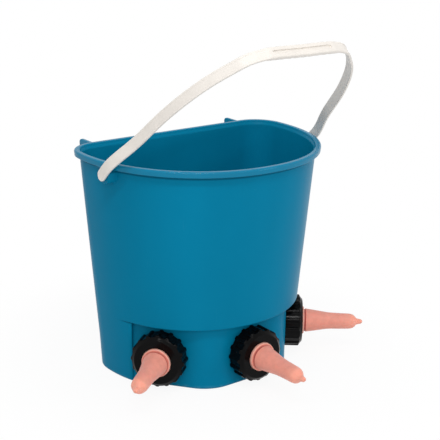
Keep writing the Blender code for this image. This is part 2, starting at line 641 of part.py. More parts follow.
def nut(station):
    """Ribbed collar nut that clamps the teat's flange to the spigot."""
    face = NUT_FACE
    rings = [nut_ring(GAP, NUT_RADIUS, NUT_RIB), nut_ring(face - 1.6 * NUT_BEVEL, NUT_RADIUS, NUT_RIB),
             nut_ring(face - NUT_BEVEL, NUT_RADIUS - NUT_BEVEL * 0.2, 0.0),
             nut_ring(face, NUT_RADIUS - NUT_BEVEL * 1.4, 0.0), nut_ring(face, NUT_OPENING, 0.0)]
    rings += [nut_ring(NUT_SHOULDER, NUT_OPENING, 0.0), nut_ring(NUT_SHOULDER, NUT_BORE, 0.0),
              nut_ring(GAP, NUT_BORE, 0.0)]
    shape = bmesh.new()
    loops = [[shape.verts.new(point) for point in ring] for ring in rings]
    for low, high in zip(loops, loops[1:] + loops[:1]):
        for i, here in enumerate(low):
            j = (i + 1) % len(low)
            shape.faces.new((here, low[j], high[j], high[i]))
    return stand_at(add_object("nut_" + station[0], shape, "black_plastic"), station)


def main():
    clear_scene()
    bucket_shell()
    handle()
    for station in STATIONS:
        spigot(station)
        washer(station)
        valve_ball(station)
        valve_cage(station)
        teat(station)
        nut(station)


main()
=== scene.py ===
"""Dresses the milk feeder: moulded pail, strap bail, collar nuts, rubber teats and valve fittings."""
import json
import math

import bmesh
import bpy
from bpy.props import FloatProperty, FloatVectorProperty, IntProperty, PointerProperty
from mathutils import Matrix, Vector

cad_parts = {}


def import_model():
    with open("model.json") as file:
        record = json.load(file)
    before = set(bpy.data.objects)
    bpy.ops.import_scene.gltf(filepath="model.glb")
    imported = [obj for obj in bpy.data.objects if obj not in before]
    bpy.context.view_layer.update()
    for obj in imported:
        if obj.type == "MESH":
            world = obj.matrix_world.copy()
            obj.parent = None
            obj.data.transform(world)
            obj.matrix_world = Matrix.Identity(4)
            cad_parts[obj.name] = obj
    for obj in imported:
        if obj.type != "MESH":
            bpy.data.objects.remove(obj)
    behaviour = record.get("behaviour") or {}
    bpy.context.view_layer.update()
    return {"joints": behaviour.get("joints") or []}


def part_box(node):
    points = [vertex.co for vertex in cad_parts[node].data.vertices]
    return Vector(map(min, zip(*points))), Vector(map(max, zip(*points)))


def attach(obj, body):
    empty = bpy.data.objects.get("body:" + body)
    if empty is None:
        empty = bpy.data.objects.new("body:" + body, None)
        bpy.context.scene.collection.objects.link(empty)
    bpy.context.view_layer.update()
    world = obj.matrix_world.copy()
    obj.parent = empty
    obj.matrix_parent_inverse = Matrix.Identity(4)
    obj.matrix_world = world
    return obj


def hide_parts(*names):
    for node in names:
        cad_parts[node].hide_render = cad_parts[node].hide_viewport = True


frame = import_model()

bl_info = {
    "name": "Milk feeder",
    "version": (1, 0, 0),
    "blender": (4, 5, 0),
    "location": "3D View > Sidebar > Feeder",
    "description": "Models and finishes the pieces of a bucket feeder with three teats",
    "category": "Object",
}

MM = 0.001
JOINTS = {joint["name"]: joint for joint in frame["joints"]}
STATIONS = ("left", "front", "right")
SHARP = math.radians(32)
PROFILE_STEP = 0.0005
TINY = 1e-5


def station_matrix(station):
    """Places a body built along +Z so that it points out of its flat, its foot on the flat."""
    joint = JOINTS["nut_turn_" + station]
    out = Vector(joint["axis"]).normalized()
    up = Vector((0, 0, 1))
    turn = Matrix((up.cross(out), up, out)).transposed().to_4x4()
    return Matrix.Translation(Vector(joint["pos_m"])) @ turn


def seat_distance(station):
    return Vector(JOINTS["nut_turn_" + station]["pos_m"][:2]).length


PIVOT = Vector(JOINTS["handle_hinge"]["pos_m"])
SIDE_OUT = Vector(JOINTS["nut_turn_right"]["axis"][:2]).normalized()
NUT_FACE = -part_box("nut_front")[0].y - seat_distance("front")
TEAT_REACH = -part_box("teat_front")[0].y - seat_distance("front") - NUT_FACE
PAIL_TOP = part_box("bucket_shell")[1].z


def length(name, description, default):
    return FloatProperty(name=name, description=description, default=default, min=0.0,
                         unit="LENGTH", subtype="DISTANCE", precision=4)


def angle(name, description, degrees):
    return FloatProperty(name=name, description=description, default=math.radians(degrees),
                         unit="ROTATION", subtype="ANGLE")


def colour(name, description, default):
    return FloatVectorProperty(name=name, description=description, default=default, size=3,
                               min=0.0, max=1.0, subtype="COLOR")


def spot(name, description, default):
    """Place on the bail, across and up in its own plane."""
    return FloatVectorProperty(name=name, description=description, default=default, size=2,
                               unit="LENGTH", precision=4)


def share(name, description, default):
    return FloatProperty(name=name, description=description, default=default,
                         min=0.0, max=1.0, subtype="FACTOR")


class PailSizes(bpy.types.PropertyGroup):
    """Sizes of the moulded pail."""

    height: length("Height", "From the ground to the top of the lip", PAIL_TOP)
    half_width: length("Half width", "Half of the mouth, across", 0.1436)
    front: length("Front", "From the origin to the front of the mouth", 0.1484)
    back: length("Back curve", "Reach of the curve that the flat back cuts off", 0.1506)
    back_flat: length("Back flat", "From the origin to the flat back, at the mouth", 0.0435)
    back_corner: length("Back corner", "Radius of the two corners at the back", 0.032)
    squareness: FloatProperty(name="Squareness", description="2 is an ellipse, more is squarer", default=2.1)
    wall_draft: FloatProperty(name="Wall draft", description="Slope of the curved wall", default=0.076)
    back_draft: FloatProperty(name="Back draft", description="Slope of the flat back", default=0.05)
    wall: length("Wall", "Thickness of the wall", 0.0028)
    proud: length("Wall offset", "Outside of the wall beyond the line of the mouth", 0.001)
    floor: length("Floor", "Thickness of the floor", 0.0032)
    foot_round: length("Foot radius", "Rounding of the lower edge", 0.004)
    foot_ring: length("Foot ring", "Width of the rim that the pail stands on", 0.006)
    foot_recess: length("Foot recess", "Recess of the underside inside that rim", 0.0009)
    lip_out: length("Lip reach", "Lip beyond the line of the mouth", 0.007)
    lip_height: length("Lip height", "Height of the turned-down lip", 0.0069)
    lip_wall: length("Lip wall", "Thickness of the lip", 0.002)
    lip_round: length("Lip radius", "Rounding of the lip's upper edge", 0.0023)
    mouth_round: length("Mouth radius", "Rounding of the mouth's inner edge", 0.0015)
    ledge: length("Ledge height", "Height of the ledge over the flats", 0.0780)
    ledge_round: length("Ledge radius", "Rounding of the ledge's edges", 0.0011)
    seat_bend: length("Bend length", "Bend between two flats, along each flat", 0.0234)
    seat_end: length("Flat end", "From a side teat to the end of its flat", 0.0350)
    step_lead: length("Step run-out", "Run-out of the ledge behind the step", 0.0170)
    step_depth: length("Step depth", "Depth of the run-out at the step", 0.0015)
    hole: length("Spigot hole", "Radius of the holes behind the nuts", 0.0224)


class LugSizes(bpy.types.PropertyGroup):
    """Sizes of the bail lugs and rail hooks."""

    proud: length("Lug reach", "Lug's face beyond the lip", 0.002)
    ahead: length("Lug ahead", "Lug in front of the pivot", 0.0095)
    behind: length("Lug behind", "Lug behind the pivot", 0.012)
    below: length("Lug below", "Lug under the pivot", 0.0095)
    corner: length("Lug corner", "Radius of the lug's lower corners", 0.007)
    flare: length("Lug flare", "Hollow curve up into the lip, behind the lug", 0.009)
    fillet: length("Lug fillet", "Hollow curve up into the lip, in front of the lug", 0.003)
    plate: length("Lug plate", "Thickness of the plate that holds the stud", 0.003)
    pocket: length("Pocket", "Half width of the pocket behind the plate", 0.006)
    hole: length("Lug hole", "Radius of the stud's hole", 0.0034)
    edge: length("Edge radius", "Rounding of the edges of lugs and hooks", 0.0009)
    hook_place: length("Hook place", "From the middle to a hook", 0.109)
    hook_thick: length("Hook thickness", "Thickness of a hook", 0.0045)
    hook_gap: length("Hook gap", "From the lip to the hook's leg", 0.0175)
    hook_leg: length("Hook leg", "Width of the hook's leg, at its top", 0.009)
    hook_tip: length("Hook tip", "Width of the leg's tip", 0.0055)
    hook_arm: length("Hook arm", "Depth of the hook's arm", 0.013)
    hook_drop: length("Hook drop", "Height of the hook", 0.034)
    hook_top: length("Hook top", "Hook's arm under the top of the pail", 0.0012)
    hook_round: length("Hook radius", "Rounding of the hook's corners", 0.004)


class BailSizes(bpy.types.PropertyGroup):
    """Sizes of the moulded bail."""

    width: length("Strap width", "Width of the strap", 0.0132)
    thick: length("Strap thickness", "Thickness of the strap", 0.0032)
    edge: length("Edge radius", "Rounding of the strap's edges", 0.0010)
    clearance: length("Clearance", "From a lug to the strap", 0.001)
    reach: length("Reach", "From the pivot to the grip", 0.210)
    lean: angle("Lean", "Forward of upright", 46)
    straight: length("Straight", "Straight part of the strap over the pivot", 0.018)
    leg_low: spot("Leg, low", "How far in the leg leans, and at what height", (0.004, 0.034))
    leg_middle: spot("Leg, middle", "How far in the leg leans, and at what height", (0.0155, 0.0655))
    leg_high: spot("Leg, high", "How far in the leg leans, and at what height", (0.0275, 0.116))
    shoulder_low: spot("Shoulder, low", "Half width, and drop below the grip", (0.1055, 0.052))
    shoulder_middle: spot("Shoulder, middle", "Half width, and drop below the grip", (0.083, 0.022))
    shoulder_high: spot("Shoulder, high", "Half width, and drop below the grip", (0.056, 0.0018))
    grip_half: length("Half grip", "Half of the grip's length", 0.043)
    grip_width: length("Grip width", "Width of the grip", 0.0136)
    grip_thick: length("Grip thickness", "Thickness of the grip", 0.0055)
    grip_blend: length("Grip blend", "Run-out from the grip to the strap", 0.009)
    rim: length("Rim", "Width of the raised rims along the strap", 0.0013)
    rim_height: length("Rim height", "Height of those rims", 0.00035)
    channel: length("Channel", "Width of the grip's channel", 0.0042)
    channel_half: length("Half channel", "Half of the channel's length", 0.040)
    channel_depth: length("Channel depth", "Depth of the grip's channel", 0.0015)
    finger_rib: length("Finger rib", "Height of the ribs under the grip", 0.0006)
    finger_ribs: IntProperty(name="Finger ribs", description="Ribs under the grip", default=9)
    stud: length("Stud", "Radius of the snap stud", 0.003)
    stud_head: length("Stud head", "Radius of the stud's head", 0.005)
    stud_head_long: length("Stud head length", "Length of the stud's head", 0.0018)


class FittingSizes(bpy.types.PropertyGroup):
    """Sizes of the nuts, teats and valves."""

    bore: length("Nut bore", "Radius of the nut's bore", 0.0224)
    nut_wall: length("Nut wall", "Thickness of the nut's skirt", 0.008)
    rib: length("Nut rib", "Height of a grip rib", 0.0019)
    ribs: IntProperty(name="Nut ribs", description="Ribs round a nut", default=16)
    rib_nub: length("Rib end", "Length of a rib's rounded end", 0.0016)
    opening: length("Nut opening", "Radius of the hole that the teat comes through", 0.0178)
    nut_top: length("Nut top", "Thickness of the nut's face", 0.0057)
    bevel: length("Nut bevel", "Bevel round the nut's face", 0.0026)
    pitch: length("Thread pitch", "Advance of the thread in a turn", 0.004)
    thread: length("Thread depth", "Depth of the thread", 0.0009)
    spigot: length("Spigot", "Radius of the spigot's thread", 0.022)
    stand: length("Spigot stand", "Spigot out of its flat", 0.012759)
    flange: length("Flange", "Radius of the spigot's flange", 0.028)
    flange_thick: length("Flange thickness", "Thickness of the spigot's flange", 0.003)
    washer: length("Washer", "Thickness of the sealing washer", 0.0015)
    gap: length("Gap", "Left between pieces that touch", 0.0003)
    inlet: length("Inlet", "Radius of the valve's inlet", 0.0045)
    ball: length("Ball", "Radius of the valve's ball", 0.0065)
    chamber: length("Chamber", "Radius of the ball's chamber", 0.0072)
    slope: FloatProperty(name="Seat slope", description="Rise over run of the ball's seat", default=1.1)
    cage: length("Cage", "Radius of the ball's cage", 0.012)
    cage_thick: length("Cage thickness", "Thickness of the ball's cage", 0.003)
    cage_hub: length("Cage hub", "Radius of the cage's hub", 0.0032)
    cage_bar: length("Cage bar", "Width of the cage's ring and bars", 0.0024)
    teat_flange: length("Teat flange", "Radius of the clamped flange", 0.0214)
    teat_flange_thick: length("Teat flange thickness", "Thickness of the clamped flange", 0.003)
    neck: length("Teat neck", "Radius of the teat in the nut's opening", 0.0170)
    collar: length("Teat collar", "Collar out of the nut", 0.0023)
    groove: length("Teat groove", "Radius of the groove at the foot of the teat", 0.0138)
    groove_width: length("Groove width", "Width of that groove", 0.0018)
    mouth: length("Teat mouth", "Radius inside the teat's foot", 0.0113)
    milk_hole: length("Milk hole", "Radius of the hole in the tip", 0.0006)


class FinishColours(bpy.types.PropertyGroup):
    """Colours of the mouldings."""

    pail: colour("Pail", "Pail's plastic", (0.0005, 0.185, 0.330))
    bail: colour("Bail", "Bail's plastic", (0.765, 0.725, 0.675))
    nut: colour("Nut", "Nuts' and spigots' plastic", (0.0018, 0.0018, 0.002))
    teat: colour("Teat", "Teats' rubber", (0.86, 0.325, 0.245))
    seal: colour("Washer", "Washers' rubber", (0.09, 0.09, 0.10))
    valve: colour("Valve", "Balls' and cages' plastic", (0.80, 0.80, 0.78))
    pail_roughness: share("Pail roughness", "Roughness of the pail", 0.30)
    nut_roughness: share("Nut roughness", "Roughness of the nuts", 0.11)


class StageSettings(bpy.types.PropertyGroup):
    """Camera, floor and lamps."""

    distance: length("Distance", "Camera from its target", 1.346)
    azimuth: angle("Azimuth", "Camera round the pail", -37.5)
    elevation: angle("Elevation", "Camera over the ground", 17.8)
    roll: angle("Roll", "Camera's roll", 1.17)
    focal: FloatProperty(name="Focal length", description="Lens of the camera, in mm", default=89.41)
    aside: length("Target aside", "Camera's target, across the picture", 0.0357)
    target: length("Target height", "Camera's target over the ground", 0.1686)
    sky: share("Sky", "Strength of the surrounding light", 0.55)


def mix(a, b, part):
    return a + (b - a) * part


def ease(part):
    """Smooth step from 0 to 1."""
    part = min(max(part, 0.0), 1.0)
    return part * part * (3 - 2 * part)


def arc(centre, radius, start, end, count):
    """Points on an arc in its own plane, with both ends, angles in degrees."""
    turns = [math.radians(mix(start, end, i / (count - 1))) for i in range(count)]
    return [(centre[0] + radius * math.cos(turn), centre[1] + radius * math.sin(turn)) for turn in turns]


def spread(start, end, count):
    """Evenly spaced values after the start, up to the end."""
    return [mix(start, end, (i + 1) / count) for i in range(count)]


def bisect(low, high, below):
    """Place between low and high where the test stops being true."""
    for _ in range(36):
        middle = (low + high) / 2
        low, high = (middle, high) if below(middle) else (low, middle)
    return low


def rounded(points, radii, steps=4):
    """Closed outline with each corner rounded by its own radius."""
    outline = []
    for i, radius in enumerate(radii):
        here, before, after = (Vector(points[k % len(points)]) for k in (i, i - 1, i + 1))
        if not radius:
            outline.append(tuple(here))
            continue
        back, ahead = (before - here).normalized(), (after - here).normalized()
        half = back.angle(ahead) / 2
        centre = here + (back + ahead).normalized() * (radius / math.sin(half))
        first = (here + back * (radius / math.tan(half)) - centre) / radius
        last = (here + ahead * (radius / math.tan(half)) - centre) / radius
        sweep = math.pi - 2 * half
        for k in range(steps + 1):
            part = k / steps * sweep
            spoke = (first * math.sin(sweep - part) + last * math.sin(part)) / math.sin(sweep)
            outline.append(tuple(centre + spoke * radius))
    return outline


def refined(outline, step, closed=True):
    """Outline with its long edges divided."""
    fine = []
    pairs = list(zip(outline, outline[1:] + outline[:1]))
    for a, b in pairs if closed else pairs[:-1]:
        count = max(1, math.ceil(math.dist(a, b) / step))
        fine += [tuple(mix(p, q, i / count) for p, q in zip(a, b)) for i in range(count)]
    return fine if closed else fine + [outline[-1]]


def through(points, steps):
    """Smooth curve through the points, with steps between each two."""
    padded = [points[0] * 2 - points[1]] + points + [points[-1] * 2 - points[-2]]
    curve = []
    for a, b, c, d in zip(padded, padded[1:], padded[2:], padded[3:]):
        for i in range(steps):
            t = i / steps
            curve.append(0.5 * (2 * b + (c - a) * t + (2 * a - 5 * b + 4 * c - d) * t * t
                                + (3 * b - a - 3 * c + d) * t ** 3))
    return curve + [points[-1]]


# Building meshes

def skin(rings, closed=False):
    """Extrude a loop of points from ring to ring, and fill both ends, or join them."""
    shape = bmesh.new()
    verts = [shape.verts.new(point) for point in rings[0]]
    first = [shape.edges.new(pair) for pair in zip(verts, verts[1:] + verts[:1])]
    edges = first
    for ring in rings[1:] + (rings[:1] if closed else []):
        grown = bmesh.ops.extrude_edge_only(shape, edges=edges)["geom"]
        fresh = {v for v in grown if isinstance(v, bmesh.types.BMVert)}
        edges = [e for e in grown if isinstance(e, bmesh.types.BMEdge) and fresh.issuperset(e.verts)]
        follow = {}
        for vert in fresh:
            for edge in vert.link_edges:
                other = edge.other_vert(vert)
                if other not in fresh:
                    follow[other] = vert
        verts = [follow[vert] for vert in verts]
        for vert, point in zip(verts, ring):
            vert.co = point
    if not closed:
        bmesh.ops.contextual_create(shape, geom=first)
        bmesh.ops.contextual_create(shape, geom=edges)
    return shape


def turned(profile, steps=96, closed=True):
    """Spin a (radius, height) profile round Z; an open one starts and ends on the axis."""
    shape = bmesh.new()
    verts = [shape.verts.new((radius, 0, height)) for radius, height in profile]
    pairs = list(zip(verts, verts[1:]))
    if closed:
        pairs.append((verts[-1], verts[0]))
    edges = [shape.edges.new(pair) for pair in pairs]
    bmesh.ops.spin(shape, geom=verts + edges, cent=(0, 0, 0), axis=(0, 0, 1), angle=math.tau,
                   steps=steps, use_merge=True, use_duplicate=False)
    return shape


def extruded(outline, start, end, edge=0.0):
    """Extrude a YZ outline along X, and round its rims."""
    shape = skin([[(x, y, z) for y, z in outline] for x in (start, end)])
    bmesh.ops.recalc_face_normals(shape, faces=shape.faces)
    if edge:
        rims = [e for e in shape.edges if abs(e.verts[0].co.x - e.verts[1].co.x) < 1e-7]
        bmesh.ops.bevel(shape, geom=rims, offset=edge, segments=3, profile=0.5, affect="EDGES", material=-1)
    return shape


def move(shape, matrix):
    bmesh.ops.transform(shape, matrix=matrix, verts=shape.verts)
    return shape


def made_object(name, shape, finish=None):
    """Close a bmesh, turn its faces outwards and put it into the scene."""
    bmesh.ops.remove_doubles(shape, verts=shape.verts, dist=1e-6)
    bmesh.ops.dissolve_degenerate(shape, edges=shape.edges, dist=1e-6)
    bmesh.ops.recalc_face_normals(shape, faces=shape.faces)
    mesh = bpy.data.meshes.new(name)
    shape.to_mesh(mesh)
    shape.free()
    made = bpy.data.objects.new(name, mesh)
    bpy.context.scene.collection.objects.link(made)
    if finish:
        mesh.materials.append(finish)
    smooth(made)
    return made


def smooth(made):
    made.data.shade_smooth()
    made.data.set_sharp_from_angle(angle=SHARP)


def combine(target, tools):
    """Join or cut bodies one after another, and drop the tools."""
    for tool, operation in tools:
        step = target.modifiers.new(tool.name, "BOOLEAN")
        step.operation = operation
        step.solver = "EXACT"
        step.object = tool
    settle(target)
    for tool, _ in tools:
        bpy.data.objects.remove(tool, do_unlink=True)
    return target


def settle(made):
    """Keep a piece's mesh as its modifiers leave it."""
    evaluated = made.evaluated_get(bpy.context.evaluated_depsgraph_get())
    mesh = bpy.data.meshes.new_from_object(evaluated)
    made.modifiers.clear()
    old = made.data
    made.data = mesh
    bpy.data.meshes.remove(old)
    mesh.name = made.name
    smooth(made)


def even_shading(made):
    """Let large faces keep flat shading beside narrow rounded ones."""
    step = made.modifiers.new("even shading", "WEIGHTED_NORMAL")
    step.keep_sharp = True
    step.weight = 60


def seat(made, body, node):
    """Put a finished piece on its body, in the place of the solid it stands for."""
    even_shading(made)
    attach(made, body)
    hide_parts(node)


# Materials

class Wire:
    """A node's output that arithmetic can be written on."""

    def __init__(self, nodes, socket):
        self.nodes = nodes
        self.socket = socket

    def _math(self, operation, first, second):
        return self.nodes.add("ShaderNodeMath", {"operation": operation}, {0: first, 1: second})

    def __add__(self, other):
        return self._math("ADD", self, other)

    def __radd__(self, other):
        return self._math("ADD", other, self)

    def __sub__(self, other):
        return self._math("SUBTRACT", self, other)

    def __rsub__(self, other):
        return self._math("SUBTRACT", other, self)

    def __mul__(self, other):
        return self._math("MULTIPLY", self, other)

    def __rmul__(self, other):
        return self._math("MULTIPLY", other, self)

    def between(self, low, high):
        """0 under the low value, 1 over the high one, and a smooth step in between."""
        return self.nodes.add("ShaderNodeMapRange", {"interpolation_type": "SMOOTHSTEP", "clamp": True},
                              {"Value": self, "From Min": low, "From Max": high})

    def within(self, low, high, rise, fall):
        """1 between two values, rising softly after the low one and falling softly after the high one."""
        return self.between(low, low + rise) * (1.0 - self.between(high, high + fall))


class Nodes:
    """A node tree that is wired up from Python."""

    def __init__(self, tree):
        self.tree = tree

    def add(self, kind, settings=None, sockets=None, output=0):
        """Add a node: its settings first, then its sockets' values or links."""
        node = self.tree.nodes.new(kind)
        for name, value in (settings or {}).items():
            setattr(node, name, value)
        for name, value in (sockets or {}).items():
            if isinstance(value, Wire):
                self.tree.links.new(value.socket, node.inputs[name])
            else:
                node.inputs[name].default_value = value
        return Wire(self, node.outputs[output])

    def coordinate(self, vector, axis):
        return self.add("ShaderNodeSeparateXYZ", {}, {0: vector}, output=axis)


class Finish(Nodes):
    """A procedural material."""

    def __init__(self, name, **constants):
        self.material = bpy.data.materials.new(name)
        self.material.use_nodes = True
        super().__init__(self.material.node_tree)
        self.shader = self.tree.nodes["Principled BSDF"]
        for socket, value in constants.items():
            self.shader.inputs[socket.replace("_", " ")].default_value = value

    def feed(self, **links):
        """Link wires to the shader's sockets."""
        for socket, wire in links.items():
            self.tree.links.new(wire.socket, self.shader.inputs[socket.replace("_", " ")])

    def place(self, scale=(1, 1, 1), turn=(0, 0, 0)):
        """The surface's own coordinates in metres, stretched or turned for a pattern."""
        own = self.add("ShaderNodeTexCoord", output="Object")
        return self.add("ShaderNodeMapping", {}, {"Vector": own, "Scale": scale, "Rotation": turn})

    def noise(self, scale, detail=2.0, roughness=0.5, vector=None):
        return self.add("ShaderNodeTexNoise", {}, {"Vector": vector or self.place(), "Scale": scale,
                                                   "Detail": detail, "Roughness": roughness})

    def outward(self):
        """1 where the surface looks away from the pail's middle, and 0 inside the pail."""
        normal = self.add("ShaderNodeNewGeometry", output="Normal")
        return self.add("ShaderNodeVectorMath", {"operation": "DOT_PRODUCT"},
                        {0: normal, 1: self.place((1.0, 1.0, 0.0))}, output="Value").between(-0.012, 0.0)

    def scratches(self, scale, stretch, turn):
        """Thin scratches that run one way, as a mask."""
        return self.noise(scale, 3.0, 0.7, self.place(stretch, turn)).between(0.66, 0.74)

    def blend(self, part, a, b):
        """Colour a where part is 0, and b where it is 1."""
        a, b = (value if isinstance(value, Wire) else (*value, 1.0) for value in (a, b))
        return self.add("ShaderNodeMix", {"data_type": "RGBA"}, {0: part, 6: a, 7: b}, output=2)

    def bump(self, height, distance, under=None):
        sockets = {"Height": height, "Distance": distance, "Strength": 1.0}
        if under:
            sockets["Normal"] = under
        return self.add("ShaderNodeBump", {}, sockets)


# Tones that the finishes blend in over their own colour
PAIL_CLOUD = (0.004, 0.225, 0.370)
PAIL_SCUFF = (0.06, 0.30, 0.44)
PAIL_RUB = (0.09, 0.30, 0.42)
# Painted shade: dark teal painted under the ledge over the flats and under the lip
PAIL_PAINTED_SHADE = (0.0, 0.045, 0.085)
BAIL_CLOUD = (0.83, 0.73, 0.64)
BAIL_SCUFF = (0.60, 0.54, 0.47)
NUT_DUST = (0.10, 0.095, 0.09)
NUT_SCUFF = (0.12, 0.12, 0.12)
TEAT_STREAK = (0.78, 0.25, 0.18)
TEAT_TIP = (0.90, 0.37, 0.26)
TEAT_COLLAR = (0.92, 0.47, 0.37)
# Dark red for the teat's groove: the rubber's deeper tone with painted shade in the recess
TEAT_GROOVE_TONE_AND_SHADE = (0.34, 0.022, 0.018)
SEAL_TALC = (0.16, 0.16, 0.17)
VALVE_FILM = (0.78, 0.76, 0.70)


def shade(tint, factor):
    return tuple(min(max(part * factor, 0.0), 1.0) for part in tint)


def pail_plastic(scene):
    """Satin moulded plastic: slight flow marks, a rippled gloss, handling scuffs, rubbed lower edges, and
    painted shade in a thin line under the ledge and a band under the lip.
    """
    finish = Finish("teal moulded plastic", IOR=1.5, Specular_IOR_Level=0.03,
                    Coat_IOR=1.5, Coat_Roughness=0.08)
    tint, pail = tuple(scene.feeder_colours.pail), scene.feeder_pail
    flow = finish.noise(7.0, 3.0, 0.55, finish.place((1.0, 1.0, 0.28)))
    cloud = finish.noise(38.0, 4.0, 0.6)
    body = finish.blend(flow.between(0.3, 0.7), shade(tint, 0.93), shade(tint, 1.06))
    body = finish.blend(cloud * 0.16, body, PAIL_CLOUD)
    across = finish.scratches(210.0, (1.0, 1.0, 0.05), (0.3, 0.1, 0.0))
    along = finish.scratches(260.0, (0.06, 1.0, 1.0), (0.0, 0.2, 0.5))
    scuff = (across + along).between(0.4, 1.6) * cloud.between(0.45, 0.62)
    height = finish.coordinate(finish.place(), "Z")
    rub = (1.0 - height.between(0.001, 0.007)) * finish.noise(150.0, 4.0, 0.7).between(0.42, 0.66)
    body = finish.blend(scuff * 0.18, body, PAIL_SCUFF)
    body = finish.blend(rub * 0.4, body, PAIL_RUB)
    ledge, lip = pail.ledge, pail.height - pail.lip_height
    flats_end, wall_start = -0.047, -0.030
    front = 1.0 - finish.coordinate(finish.place(), "Y").between(flats_end, wall_start)
    outward = finish.outward()
    # Painted shade: a dark line painted just under the ledge over the flats, fading behind the step, and a
    # dark band painted on the outside under the lip
    ledge_shadow_line = height.within(ledge - 0.0020, ledge, 0.0012, 0.0005) * front
    lip_shadow_band = height.within(lip - 0.0045, lip - 0.0003, 0.0015, 0.0006) * outward * 0.8
    body = finish.blend((ledge_shadow_line + lip_shadow_band) * 0.6, body, PAIL_PAINTED_SHADE)
    rough = cloud * 0.08 + scuff * 0.2 + rub * 0.2 + (scene.feeder_colours.pail_roughness - 0.04)
    ripple = finish.bump(finish.noise(17.0, 1.0, 0.4, finish.place((1.0, 1.0, 0.5))), 0.0010)
    fine = finish.bump(finish.noise(900.0) - scuff * 1.5, 0.00003, ripple)
    polish = height.between(lip - 0.001, lip) * outward * 0.3
    finish.feed(Base_Color=body, Roughness=rough, Normal=fine, Coat_Weight=polish)
    return finish.material


def bail_plastic(scene):
    """Natural plastic, slightly mottled, with grip wear."""
    finish = Finish("natural moulded plastic", IOR=1.5, Coat_Weight=0.12, Coat_Roughness=0.2)
    tint = tuple(scene.feeder_colours.bail)
    mottle = finish.noise(60.0, 4.0, 0.6)
    body = finish.blend(mottle.between(0.3, 0.7), shade(tint, 0.975), shade(tint, 1.03))
    body = finish.blend(finish.noise(9.0) * 0.18, body, BAIL_CLOUD)
    scuff = finish.scratches(240.0, (1.0, 0.08, 1.0), (0.5, 0.0, 0.2)) * mottle.between(0.4, 0.6)
    body = finish.blend(scuff * 0.12, body, BAIL_SCUFF)
    rough = mottle * 0.10 + scuff * 0.15 + 0.40
    normal = finish.bump(finish.noise(500.0, 2.0, 0.6) + finish.noise(120.0) * 2.0, 0.000012)
    finish.feed(Base_Color=body, Roughness=rough, Normal=normal)
    return finish.material


def black_plastic(scene):
    """Black moulded plastic with fine scratches and a little dust."""
    finish = Finish("black moulded plastic", IOR=1.5, Specular_IOR_Level=0.08)
    tint = tuple(scene.feeder_colours.nut)
    dust = finish.noise(330.0, 5.0, 0.75).between(0.60, 0.78)
    patch = finish.noise(45.0, 3.0, 0.6)
    scuff = finish.scratches(420.0, (1.0, 1.0, 0.1), (0.4, 0.3, 0.0))
    body = finish.blend(dust * patch * 0.05, tint, NUT_DUST)
    body = finish.blend(scuff * 0.04, body, NUT_SCUFF)
    rough = patch * 0.06 + dust * 0.2 + scuff * 0.15 + scene.feeder_colours.nut_roughness
    wave = finish.bump(finish.noise(130.0), 0.00012)
    fine = finish.bump(finish.noise(1100.0, 2.0, 0.6) - scuff, 0.00002, wave)
    finish.feed(Base_Color=body, Roughness=rough, Normal=fine)
    return finish.material


def teat_rubber(scene):
    """Soft rubber: pale collar, a groove painted dark red for the rubber's deeper tone and for painted shade,
    drawn lengthwise lines and a paler tip.
    """
    finish = Finish("soft pink rubber", IOR=1.45, Subsurface_Weight=0.22, Subsurface_Scale=0.005,
                    Subsurface_Radius=(1.0, 0.35, 0.25), Sheen_Weight=0.12, Sheen_Roughness=0.5)
    tint, sizes = tuple(scene.feeder_colours.teat), scene.feeder_fittings
    barrel = finish.add("ShaderNodeAttribute", {"attribute_name": "barrel"}, output="Vector")
    along = finish.coordinate(barrel, "Z")
    strip = finish.add("ShaderNodeMapping", {}, {"Vector": barrel, "Scale": (9.0, 9.0, 45.0)})
    streak = finish.noise(1.0, 4.0, 0.65, strip)
    mottle = finish.noise(170.0, 4.0, 0.6)
    body = finish.blend(mottle.between(0.3, 0.7), shade(tint, 0.94), shade(tint, 1.04))
    body = finish.blend(streak.between(0.35, 0.75) * 0.20, body, TEAT_STREAK)
    tip = along.between(0.050, 0.066)
    body = finish.blend(tip * 0.55, body, TEAT_TIP)
    collar = 1.0 - along.between(sizes.collar - 0.0002, sizes.collar + 0.0002)
    body = finish.blend(collar * 0.85, body, TEAT_COLLAR)
    # The groove is painted dark red: partly the rubber's deeper tone, partly painted shade in the recess
    groove = along.within(sizes.collar, sizes.collar + sizes.groove_width, 0.0004, 0.0008)
    body = finish.blend(groove * 0.85, body, TEAT_GROOVE_TONE_AND_SHADE)
    rough = mottle * 0.12 - tip * 0.06 + 0.48
    lines = finish.bump(streak, 0.00012)
    fine = finish.bump(finish.noise(900.0, 3.0, 0.6) * 0.5 + mottle, 0.00006, lines)
    finish.feed(Base_Color=body, Roughness=rough, Normal=fine)
    return finish.material


def plain_rubber(scene):
    """Matt sealing rubber with talc in its pores."""
    finish = Finish("grey sealing rubber", IOR=1.45)
    pores = finish.noise(500.0, 4.0, 0.7)
    body = finish.blend(pores.between(0.5, 0.7) * 0.4, tuple(scene.feeder_colours.seal), SEAL_TALC)
    finish.feed(Base_Color=body, Roughness=pores * 0.2 + 0.62, Normal=finish.bump(pores, 0.00005))
    return finish.material


def valve_plastic(scene):
    """Smooth white valve plastic with a milky film."""
    finish = Finish("white valve plastic", IOR=1.48, Subsurface_Weight=0.1, Subsurface_Scale=0.003)
    film = finish.noise(220.0, 3.0, 0.6)
    body = finish.blend(film.between(0.4, 0.7) * 0.5, tuple(scene.feeder_colours.valve), VALVE_FILM)
    finish.feed(Base_Color=body, Roughness=film * 0.18 + 0.26, Normal=finish.bump(film, 0.00003))
    return finish.material


FINISHES = {
    "teal_plastic": pail_plastic,
    "cream_plastic": bail_plastic,
    "black_plastic": black_plastic,
    "pink_rubber": teat_rubber,
    "grey_rubber": plain_rubber,
    "white_plastic": valve_plastic,
}
MADE = {}


def finish_for(slot):
    """The material of a slot, made once."""
    if slot not in MADE:
        MADE[slot] = FINISHES[slot](bpy.context.scene)
    return MADE[slot]


# The pail

